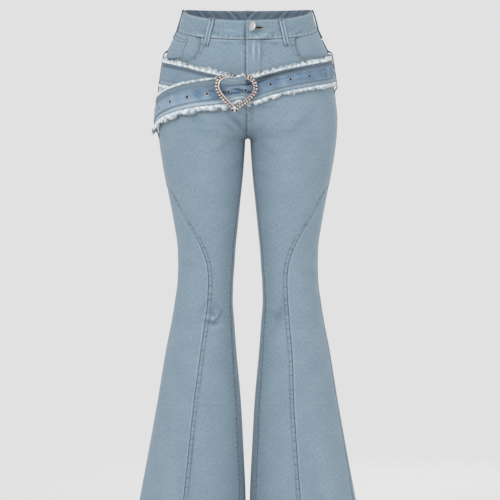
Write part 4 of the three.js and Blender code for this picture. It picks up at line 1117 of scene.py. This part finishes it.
def make_fringe(node, ribbon, start, end, edge, seed, longest=FRINGE_LENGTH, rise=0.0):
    """Loose ends along one edge, 1 for the top and -1 for the foot, drawn together into tufts."""
    random = np.random.default_rng(seed)
    run = abs(end - start) * 3.0
    count = int(run * THREADS_PER_MM)
    at = np.sort(random.random(count)) * run
    bounds = np.cumsum(random.uniform(1.6, 4.6, int(run)))
    tuft = np.searchsorted(bounds, at)
    middle = (np.r_[0, bounds][tuft] + bounds[tuft]) / 2
    tufts = len(bounds)
    tuft_length, tuft_lean, tuft_stand = (random.uniform(0.55, 1.12, tufts), random.normal(0, 0.42, tufts),
                                          random.random(tufts))
    swell = 0.94 + 0.1 * np.sin(at * 0.09 + seed) + 0.1 * np.sin(at * 0.31 + 2 * seed)
    length = longest * swell * tuft_length[tuft] * (0.8 + 0.3 * random.random(count))
    sway = tuft_lean[tuft] + random.normal(0, 0.16, count)
    stand = 0.6 * tuft_stand[tuft] + 0.4 * random.random(count)
    curl = random.normal(0, 0.4, count)
    if ribbon == "belt":
        length = length * mix(1.3, 0.8, smooth_step((start + at / 3.0 + 20) / 40))
    root = BELT_CLOTH / 2 + rise - 0.2 - 2.2 * random.random(count) ** 1.5
    t = THREAD_POINTS[:, 2]
    reach = length[:, None] * t
    drift = (sway[:, None] * reach * (0.5 + 0.5 * t) + curl[:, None] * 3 * np.sin(2.6 * t)
             + ((middle - at) * 0.75)[:, None] * t**1.5)
    angle = (start + np.sign(end - start) * at / 3.0)[:, None] + drift / MM_PER_DEGREE
    across = edge * (root[:, None] + reach * (1 - 0.15 * t))
    above = (0.1 + 0.9 * random.random(count)[:, None] + stand[:, None] * 3.2 * t * (1.4 - 0.7 * t)
             - 1.2 * t**2)
    if ribbon == "tail":
        stray = smooth_step((-angle - 84) / 10) * t**1.2
        above = above + (6.5 if edge < 0 else 3.0) * stray
        across = across - edge * (4.0 if edge < 0 else 0) * stray
    centre, normal = ribbon_point(ribbon, angle, across, above)
    along, _ = ribbon_point(ribbon, angle + 1 / MM_PER_DEGREE, across, above)
    tangent = unit(along - centre)
    thick = (0.42 + 0.26 * random.random(count))[:, None, None]
    points = centre + thick * (THREAD_POINTS[:, 0, None] * tangent + THREAD_POINTS[:, 1, None] * normal)
    obj = joined_mesh(f"{node}_threads", points, THREAD_FACES)
    finish_piece(obj, FRAY, [node])
    print(obj.name, count)


make_fringe("fringe_belt_top", "belt", BELT_STARTS - 2, BELT_ENDS, 1, 3)
make_fringe("fringe_belt_bottom", "belt", BELT_STARTS - 2, BELT_ENDS, -1, 5)
make_fringe("fringe_tail_top", "tail", 2, TAIL_ENDS, 1, 7, 5.5, TAIL_TOP_EXTRA)
make_fringe("fringe_tail_bottom", "tail", 2, TAIL_ENDS, -1, 9, 12)

# %% [markdown]
# Stitches are short thread ends that dive into the cloth, about 3 mm apart. One stitch is a small
# flattened sphere, and copies follow each seam line on the finished cloth.

# %% Stitches
def stitch_shape():
    bm = bmesh.new()
    bmesh.ops.create_uvsphere(bm, u_segments=6, v_segments=4, radius=0.5)
    bmesh.ops.triangulate(bm, faces=bm.faces)
    bm.verts.ensure_lookup_table()
    points = np.array([v.co[:] for v in bm.verts])
    faces = [[v.index for v in f.verts] for f in bm.faces]
    bm.free()
    return points, faces


STITCH_POINTS, STITCH_FACES = stitch_shape()
STITCH_PITCH = 3.4
STITCH_LENGTH = 2.6
STITCH_WIDTH = 0.95
SEWN = {"front": [], "back": [], "waist": [], "belt": []}


def spaced(line, normals, pitch):
    """Even places along a line of points: middle, direction and normal of each."""
    step = np.linalg.norm(np.diff(line, axis=0), axis=1)
    run = np.r_[0, step.cumsum()]
    at = np.arange(pitch / 2, run[-1], pitch)
    where = np.stack([np.interp(at, run, line[:, k]) for k in range(3)], 1)
    ahead = np.stack([np.interp(at + 0.5, run, line[:, k]) for k in range(3)], 1)
    behind = np.stack([np.interp(at - 0.5, run, line[:, k]) for k in range(3)], 1)
    normal = unit(np.stack([np.interp(at, run, normals[:, k]) for k in range(3)], 1))
    return where, unit(ahead - behind), normal


def sew(group, line, normals, pitch=STITCH_PITCH, length=STITCH_LENGTH, width=STITCH_WIDTH):
    """Adds a row of stitches along a line of points on the cloth."""
    if len(line) < 2:
        return
    where, along, normal = spaced(line, normals, pitch)
    side = np.cross(normal, along)
    p = STITCH_POINTS
    shape = (p[None, :, 0, None] * along[:, None] * length + p[None, :, 1, None] * side[:, None] * width
             + p[None, :, 2, None] * normal[:, None] * 0.55)
    SEWN[group].append(where[:, None] + normal[:, None] * 0.12 + shape)


def line_at(name, inset, edge):
    """A line on a made shell at a distance in millimetres from one of its edges."""
    points, normals = SURFACES[name]
    if edge in ("head", "foot"):
        points, normals = points.transpose(1, 0, 2), normals.transpose(1, 0, 2)
    arcs = arc_from_edges(points)[0 if edge in ("from", "head") else 1]
    if edge in ("to", "foot"):
        points, normals, arcs = points[:, ::-1], normals[:, ::-1], arcs[:, ::-1]
    line, up = [], []
    for row in range(len(points)):
        if arcs[row, -1] < inset * 1.5:
            continue
        line.append([np.interp(inset, arcs[row], points[row, :, k]) for k in range(3)])
        up.append([np.interp(inset, arcs[row], normals[row, :, k]) for k in range(3)])
    return np.array(line).reshape(-1, 3), np.array(up).reshape(-1, 3)


def sew_edge(group, name, inset, edge, lowest=-2000.0, highest=2000.0):
    line, up = line_at(name, inset, edge)
    keep = (line[:, 2] > lowest) & (line[:, 2] < highest)
    sew(group, line[keep], up[keep])


for side in (1, -1):
    word = side_name[side]
    sew_edge("front", f"front_{word}", 6.6, "to", highest=-99)
    for inset in (1.6, 8.0):
        sew_edge("front", f"front_{word}", inset, "to", lowest=-96)
    sew_edge("front", f"front_{word}", 13.5, "foot")
    sew_edge("front", f"side_{word}", 13.5, "foot")
    sew_edge("back", f"back_{word}", 13.5, "foot")
    sew_edge("back", f"back_{word}", 6.6, "from", highest=-116)
    for inset in (1.6, 7.0):
        sew_edge("back", f"back_{word}", inset, "to")
        sew_edge("back", f"yoke_{word}", inset, "foot")
    for inset in (1.6, 7.0):
        for edge in ("from", "to", "foot"):
            sew_edge("back", f"back_pocket_{word}", inset, edge)
    for inset in (2.0, 13.0):
        sew_edge("back", f"back_pocket_{word}", inset, "head")
    sew_edge("waist", f"waistband_{word}", 2.2, "head")
    sew_edge("waist", f"waistband_{word}", 2.0, "foot")
    sew_edge("waist", f"waistband_{word}", 2.2, "from")
for inset in (2.0, 7.0):
    sew_edge("waist", "coin_pocket", inset, "head")
sew_edge("waist", "coin_pocket", 1.8, "from")
for inset in (1.5, 7.5):
    sew_edge("waist", "fly", inset, "to")
sew_edge("waist", "fly", 1.8, "from")
for name in ("belt", "belt_tail"):
    for inset in (4.0, 9.0):
        sew_edge("belt", name, inset, "head")
        sew_edge("belt", name, inset - 1.6, "foot")
for name in ("belt_strip", "tail_strip"):
    for edge in ("head", "foot"):
        sew_edge("belt", name, 1.5, edge)
for group, rows in SEWN.items():
    obj = joined_mesh(f"stitches_{group}", np.concatenate(rows), STITCH_FACES)
    finish_piece(obj, THREAD)
    print(obj.name, sum(len(r) for r in rows), "stitches")

# %% [markdown]
# Bar tacks at the loop ends and the pocket corners are dense zigzags, and the buttonhole is a
# keyhole bound in tan thread beside the button. Both are short stitches laid side by side.

# %% Bar tacks and buttonhole
def frame_on(normal, up=(0, 0, 1)):
    """Right and upward directions along the cloth, from its normal."""
    right = unit(np.cross(np.asarray(up, float), normal))
    return right, unit(np.cross(normal, right))


def tack(group, point, normal, width, turn=0.0):
    """A bar tack: thread ends packed along a short bar."""
    right, up = frame_on(normal)
    bar = np.cos(turn) * right + np.sin(turn) * up
    count = int(width / 0.7)
    rows = []
    for i in range(count):
        middle = point + bar * (i / (count - 1) - 0.5) * width
        ahead = unit(np.cross(normal, bar)) * 1.1
        rows.append(np.stack([middle - ahead, middle + ahead]))
    for row in rows:
        sew_short(group, row, normal)


def sew_short(group, ends, normal, width=0.75):
    """One short stitch between two ends."""
    along = ends[1] - ends[0]
    side = unit(np.cross(normal, along))
    p = STITCH_POINTS
    shape = p[:, 0, None] * along + p[:, 1, None] * side * width + p[:, 2, None] * normal * 0.7
    SEWN[group].append((ends.mean(0) + normal * 0.25 + shape)[None])


SEWN = {"tack": [], "hole": []}
for name in ("loop_front_left", "loop_front_right", "loop_side_left", "loop_side_right", "loop_back"):
    points, normals = SURFACES[name]
    for row in (2, -3):
        tack("tack", points[row, 6] + normals[row, 6] * 0.2, unit(normals[row, 6]), 9.5)
points, normals = SURFACES["coin_pocket"]
tack("tack", points[3, 3], unit(normals[3, 3]), 6.0, 0.5)
hole_middle, hole_normal = band_points(1, np.array(np.degrees(np.arcsin(20 / outer_at(0)))), np.array(-16.0))
hole_right, hole_up = frame_on(hole_normal)
for i in range(52):
    turn = 2 * math.pi * i / 52
    rim = hole_right * 8.2 * math.cos(turn) + hole_up * math.sin(turn) * (2.0 - 0.9 * math.cos(turn))
    out = unit(hole_right * math.cos(turn) * 0.6 + hole_up * math.sin(turn))
    sew_short("hole", np.stack([hole_middle + rim, hole_middle + rim + out * 2.2]), hole_normal, 1.2)
# The buttonhole's slit is a dark disc: painted shadow in its opening.
bm = bmesh.new()
bmesh.ops.create_circle(bm, cap_ends=True, segments=20, radius=MM)
bmesh.ops.scale(bm, verts=bm.verts, vec=(7.4, 1.7, 1))
slit_turn = Matrix((hole_right, hole_up, hole_normal)).transposed().to_4x4()
bmesh.ops.transform(bm, matrix=Matrix.Translation(Vector(hole_middle + hole_normal * 0.1) * MM) @ slit_turn,
                    verts=bm.verts)
finish_piece(make_object("buttonhole_slit", bm), HOLE_SHADOW)
finish_piece(joined_mesh("bar_tacks", np.concatenate(SEWN["tack"]), STITCH_FACES), THREAD)
finish_piece(joined_mesh("buttonhole", np.concatenate(SEWN["hole"]), STITCH_FACES), TAN_THREAD)

# %% [markdown]
# The button is a domed cap on a stem, spun from its profile. It leans towards the lap, turned by
# the pull of the buttonhole, so it looks like a narrow oval from the front. A spin needs use_merge so
# that it closes, and its normals are recalculated because a profile can turn it inside out.

# %% Button and eyelets
def spun(name, profile, steps, place, material, replaces):
    """Spins a profile of (radius, height) in millimetres about a normal at a place."""
    bm = bmesh.new()
    verts = [bm.verts.new((r * MM, 0, h * MM)) for r, h in profile]
    edges = [bm.edges.new(pair) for pair in zip(verts, verts[1:])]
    bmesh.ops.spin(bm, geom=verts + edges, cent=(0, 0, 0), axis=(0, 0, 1), angle=2 * math.pi, steps=steps,
                   use_merge=True)
    bmesh.ops.remove_doubles(bm, verts=bm.verts, dist=1e-6)
    bmesh.ops.recalc_face_normals(bm, faces=bm.faces)
    bmesh.ops.transform(bm, matrix=place, verts=bm.verts)
    return finish_piece(make_object(name, bm), material, replaces)


def placed(point, normal):
    """The matrix that stands a piece on a point, along a normal."""
    turn = Vector((0, 0, 1)).rotation_difference(Vector(normal)).to_matrix().to_4x4()
    return Matrix.Translation(Vector(point) * MM) @ turn


BUTTON_TURN = -50
BUTTON_ACROSS = 9.3
BUTTON_LEVEL = -16.0
BUTTON_RADIUS = 9.5
BUTTON_SUNK = 1.8
button_angle = np.array(np.degrees(np.arcsin(BUTTON_ACROSS / outer_at(0))))
button_point, button_normal = body_point(1, button_angle, np.array(BUTTON_LEVEL))
button_rise = BUTTON_RADIUS * math.sin(math.radians(-BUTTON_TURN))
button_out = BAND_PROUD + BAND_WALL + LAY_GAP + SEAM_GAP + button_rise - BUTTON_SUNK
button_turned = Matrix.Rotation(math.radians(BUTTON_TURN), 3, "Z") @ Vector(button_normal)
BUTTON_PROFILE = [(0, -4.8), (2.2, -4.8), (2.2, 1.5), (8.4, 1.8), (9.2, 2.2), (9.5, 2.8), (9.2, 3.4),
                  (8.2, 3.9), (6.6, 4.15),
                  (4.4, 4.3), (2.2, 4.38), (0, 4.4)]
spun("button_cap", BUTTON_PROFILE, 40, placed(button_point + button_normal * button_out, button_turned),
     SATIN, ["button"])

EYELET_PROFILE = [(2.5, -0.6), (2.55, 0.4), (2.7, 0.9), (3.0, 1.1), (3.4, 0.95), (3.7, 0.5), (3.8, 0),
                  (2.7, -0.3), (2.5, -0.6)]
EYELET_PITCH = 41
EYELET_HOLE = 2.6
HEART_EYELET = -1.8  # the angle of the eyelet inside the heart, whose cloth is lifted
TAIL_EYELETS_FROM = -14.6
BELT_EYELETS_TO = -106


def even_angles(ribbon, first, last, pitch):
    """Angles along a ribbon at an even pitch of arc, as on a punched belt."""
    angles = np.arange(first, last, 0.25 if last > first else -0.25)
    middle, _ = ribbon_point(ribbon, angles, 0 * angles, 0)
    run = np.r_[0, np.linalg.norm(np.diff(middle, axis=0), axis=1).cumsum()]
    return np.interp(np.arange(0, run[-1], pitch), run, angles)


def make_eyelet(ribbon, number, angle, lift=0.0):
    """A rolled ring on a ribbon's middle line, with a dark disc in its hole as painted shadow."""
    point, normal = ribbon_point(ribbon, np.array(angle), np.array(0.0),
                                 LAY_GAP + STRIP_WALL + SEAM_GAP + lift)
    node = f"eyelet_{ribbon}_{number}"
    spun(f"{node}_ring", EYELET_PROFILE, 20, placed(point, normal), NICKEL, [node])
    bm = bmesh.new()
    bmesh.ops.create_circle(bm, cap_ends=True, segments=14, radius=EYELET_HOLE * MM)
    bmesh.ops.transform(bm, matrix=placed(point - normal * 0.15, normal), verts=bm.verts)
    finish_piece(make_object(f"{node}_hole", bm), HOLE_SHADOW)


make_eyelet("tail", 1, HEART_EYELET, 1.0)
for i, angle in enumerate(even_angles("tail", TAIL_EYELETS_FROM, TAIL_ENDS + 12, EYELET_PITCH)):
    make_eyelet("tail", i + 2, angle)
for i, angle in enumerate(even_angles("belt", BELT_ENDS + 14.3, BELT_EYELETS_TO, EYELET_PITCH)):
    make_eyelet("belt", i + 1, angle)

# %% [markdown]
# The heart buckle is a flat dark rim with claw-set stones all round. Inside them runs a smooth
# rail on one half and a second row of stones on the other. A pale satin cap on the point stands
# for the highlight there: a painted highlight.
# The rim's section is swept round the heart's outline; stones are cut cones in an array.

# %% Heart buckle
HEART_CENTRE = (-22.5, -141)
HEART_WIDTH = 80
HEART_HEIGHT = 70
HEART_RIM = 3.4
NOTCH_DROP = 8
HEART_DEPTH = float(front_at(HEART_CENTRE[1])) + 13 + HEART_RIM * 0.9
HEART_YAW = math.radians(-4)
HEART_ROLL = math.radians(4)


def bezier(p0, p1, p2, p3, count):
    t = np.linspace(0, 1, count, endpoint=False)[:, None]
    p0, p1, p2, p3 = (np.array(p, float) for p in (p0, p1, p2, p3))
    return (1 - t) ** 3 * p0 + 3 * (1 - t) ** 2 * t * p1 + 3 * (1 - t) * t**2 * p2 + t**3 * p3


def heart_outline(count):
    """The heart's closed middle line, from the notch round the right lobe, evenly spaced."""
    w, top = HEART_WIDTH / 2 - HEART_RIM, HEART_HEIGHT / 2 - HEART_RIM
    notch, side, tip = (0, top - NOTCH_DROP), (w, top * 0.36), (0, -top - 1.2)
    right = [bezier(notch, (w * 0.12, top + 1.5), (w * 0.98, top + 5), side, 60),
             bezier(side, (w * 1.02, -top * 0.1), (w * 0.45, -top * 0.5), tip, 60)]
    half = np.concatenate(right + [np.array([tip])])
    loop = np.concatenate([half, half[-2:0:-1] * (-1, 1)])
    closed = np.concatenate([loop, loop[:1]])
    run = np.r_[0, np.linalg.norm(np.diff(closed, axis=0), axis=1).cumsum()]
    at = np.linspace(0, run[-1], count, endpoint=False)
    return np.stack([np.interp(at, run, closed[:, k]) for k in range(2)], 1)


def heart_place(u, v, out):
    """A point of the heart: u and v in its own plane, which is rolled and yawed a little."""
    r = HEART_ROLL
    u, v = u * math.cos(r) + v * math.sin(r), v * math.cos(r) - u * math.sin(r)
    c, s = math.cos(HEART_YAW), math.sin(HEART_YAW)
    return np.stack([HEART_CENTRE[0] + u * c + out * s, -HEART_DEPTH - out * c - u * s,
                     HEART_CENTRE[1] + v + 0 * u], -1)


def outline_frame(count):
    line = heart_outline(count)
    along = unit(np.roll(line, -1, 0) - np.roll(line, 1, 0))
    return line, np.stack([-along[:, 1], along[:, 0]], 1)


def sweep_round_heart(name, section, count, span, material, replaces):
    """Sweeps a closed section of (outwards, forwards) in millimetres along a span of the outline."""
    line, out = outline_frame(count)
    picks = range(int(span[0] * count), int(span[1] * count))
    closed = len(picks) == count
    bm = bmesh.new()
    rings = []
    for i in picks:
        u, v = (line[i][:, None] + out[i][:, None] * np.array(section)[:, 0]).reshape(2, -1)
        ring = [bm.verts.new(p) for p in heart_place(u, v, np.array(section)[:, 1]) * MM]
        rings.append([bm.edges.new((ring[k], ring[(k + 1) % len(ring)])) for k in range(len(ring))])
    for i in range(len(rings) if closed else len(rings) - 1):
        bmesh.ops.bridge_loops(bm, edges=rings[i] + rings[(i + 1) % len(rings)])
    if not closed:
        bmesh.ops.holes_fill(bm, edges=rings[0] + rings[-1])
    bmesh.ops.recalc_face_normals(bm, faces=bm.faces)
    return finish_piece(make_object(name, bm), material, replaces)


RIM_SECTION = [(-4.2, -2.4), (4.0, -2.4), (4.8, -1.2), (4.5, 0.0), (3.6, 0.5), (-0.6, 0.5), (-3.4, 0.3),
               (-4.2, -0.6)]
sweep_round_heart("heart_rim", RIM_SECTION, 160, (0, 1), ROSE_PLATE, ["buckle_heart"])
RAIL_SECTION = [(-2.7 + 1.75 * math.cos(a), 0.9 + 1.3 * math.sin(a))
                for a in np.linspace(0, 2 * math.pi, 12, endpoint=False)]
sweep_round_heart("heart_rail", RAIL_SECTION, 160, (0.53, 0.97), RAIL_PLATE, [])


def stone_shape():
    """A round cut stone: a cone cut off flat at the table, wide at its girdle."""
    bm = bmesh.new()
    bmesh.ops.create_cone(bm, cap_ends=True, segments=8, radius1=1.0, radius2=0.55, depth=0.7)
    bmesh.ops.translate(bm, verts=bm.verts, vec=(0, 0, 0.35))
    bmesh.ops.triangulate(bm, faces=bm.faces)
    bm.verts.ensure_lookup_table()
    points, faces = np.array([v.co[:] for v in bm.verts]), [[v.index for v in f.verts] for f in bm.faces]
    bm.free()
    return points, faces


STONE_POINTS, STONE_FACES = stone_shape()


def set_stones(name, count, span, out_by, radius, forward, material, height=1.0, seed=1):
    """A row of stones along a span of the outline, each turned and tilted a little."""
    random = np.random.default_rng(seed)
    line, out = outline_frame(count)
    picks = np.arange(int(span[0] * count), int(span[1] * count))
    seat = line[picks] + out[picks] * out_by + random.normal(0, 0.12, (len(picks), 2))
    turn = random.random(len(picks)) * 3
    c, s = np.cos(turn)[:, None], np.sin(turn)[:, None]
    tilt = random.normal(0, 0.22, (len(picks), 2, 1))
    p = STONE_POINTS[None] * radius * (0.92 + 0.16 * random.random((len(picks), 1, 1)))
    u, v = p[..., 0] * c - p[..., 1] * s, p[..., 0] * s + p[..., 1] * c
    lift = forward + p[..., 2] * height + tilt[:, 0] * u + tilt[:, 1] * v
    obj = joined_mesh(name, heart_place(seat[:, :1] + u, seat[:, 1:] + v, lift), STONE_FACES)
    obj.data.shade_flat()
    finish_piece(obj, material)
    print(name, len(picks))


set_stones("heart_stones_outer", 38, (0, 1), 2.2, 2.5, 0.5, STONE, seed=2)
set_stones("heart_stones_inner", 44, (0.03, 0.49), -2.2, 2.0, 0.5, STONE, seed=3)
set_stones("heart_claws_outer", 76, (0, 1), 4.4, 0.6, 0.3, NICKEL, height=2.8, seed=4)
set_stones("heart_claws_inner", 88, (0.03, 0.49), -4.0, 0.5, 0.2, NICKEL, height=2.8, seed=5)

# The pale satin cap at the point is a painted highlight.
bm = bmesh.new()
bmesh.ops.create_cube(bm, size=1)
bmesh.ops.bevel(bm, geom=bm.edges[:], offset=0.3, segments=3, profile=0.5, affect="EDGES", material=-1)
bmesh.ops.scale(bm, verts=bm.verts, vec=(6.4, 4.2, 7.0))
bmesh.ops.rotate(bm, verts=bm.verts, cent=(0, 0, 0), matrix=Matrix.Rotation(math.radians(12), 3, "Y"))
tip_place = heart_place(np.array(0.0), np.array(2.2 + HEART_RIM - HEART_HEIGHT / 2), np.array(0.8))
bmesh.ops.translate(bm, verts=bm.verts, vec=Vector(tip_place))
bmesh.ops.scale(bm, verts=bm.verts, vec=(MM, MM, MM))
finish_piece(make_object("heart_tip", bm), SATIN)

# %% [markdown]
# The bar behind the belt stays the CAD node. Its material is nickel plate like the button's.

# %% Bar
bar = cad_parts["buckle_bar"]
bar.data.materials.clear()
bar.data.materials.append(NICKEL)

# %% [markdown]
# A plain pale floor that fades out into a pale background, and soft studio light from large
# areas in front, beside and above. The camera stands level with the thighs, far off with a long
# lens, as in the photograph, whose lower edge cuts the hems off.

# %% Stage, light and camera
FLOOR_LEVEL = HEM_LEVEL - 1
CAMERA_HEIGHT = -440.8
CAMERA_AWAY = 5500
PIXEL = 1.95
PICTURE = 500
MIDDLE_X = (250 - 247.75) * PIXEL
BACKGROUND = "#e1e1e1"
bm = bmesh.new()
bmesh.ops.create_circle(bm, cap_ends=True, segments=96, radius=2.6)
bmesh.ops.translate(bm, verts=bm.verts, vec=(0, 0, FLOOR_LEVEL * MM))
floor = make_object("floor", bm)
pale, tree, shader = new_material("pale_matt_floor", Roughness=0.9)
place = add_node(tree, "ShaderNodeTexCoord").outputs["Object"]
apart = add_node(tree, "ShaderNodeMapping", values={"Scale": (1, 1, 0)}, links={"Vector": place})
radius = add_node(tree, "ShaderNodeVectorMath", {"operation": "LENGTH"}, links={0: apart.outputs[0]})
fade = add_node(tree, "ShaderNodeMapRange",
                values={"From Min": 1.0, "From Max": 2.5, "To Min": 1.0, "To Max": 0.0},
                links={"Value": radius.outputs["Value"]})
tree.links.new(fade.outputs["Result"], shader.inputs["Alpha"])
grain = add_node(tree, "ShaderNodeTexNoise", values={"Scale": 3.0}, links={"Vector": place})
tint = add_node(tree, "ShaderNodeValToRGB", links={"Fac": grain.outputs["Fac"]})
tint.color_ramp.elements[0].color, tint.color_ramp.elements[1].color = linear("#dededd"), linear("#e4e4e3")
tree.links.new(tint.outputs["Color"], shader.inputs["Base Color"])
floor.data.materials.append(pale)

world = bpy.data.worlds.new("pale_studio")
bpy.context.scene.world = world
world.use_nodes = True
world.node_tree.nodes["Background"].inputs["Color"].default_value = linear(BACKGROUND)
world.node_tree.nodes["Background"].inputs["Strength"].default_value = 1.0


def area_light(name, place, target, size, power):
    light = bpy.data.lights.new(name, "AREA")
    light.energy, light.size, light.shape = power, size, "DISK"
    obj = bpy.data.objects.new(name, light)
    obj.location = place
    obj.rotation_euler = (Vector(target) - Vector(place)).to_track_quat("-Z", "Y").to_euler()
    bpy.context.scene.collection.objects.link(obj)


area_light("key", (-2.2, -3.6, 1.6), (0, 0, -0.5), 1.8, 57)
area_light("fill", (2.8, -3.0, 0.6), (0, 0, -0.5), 2.2, 22)
area_light("back", (1.5, 3.2, 1.8), (0, 0, -0.4), 2.0, 40)

camera_data = bpy.data.cameras.new("camera")
camera_data.sensor_width = 36
camera_data.lens = 36 * CAMERA_AWAY / (PIXEL * PICTURE)
camera = bpy.data.objects.new("camera", camera_data)
camera.location = (MIDDLE_X * MM, -CAMERA_AWAY * MM, CAMERA_HEIGHT * MM)
camera.rotation_euler = (math.pi / 2, 0, 0)
bpy.context.scene.collection.objects.link(camera)
bpy.context.scene.camera = camera
bpy.context.scene.view_settings.view_transform = "Standard"
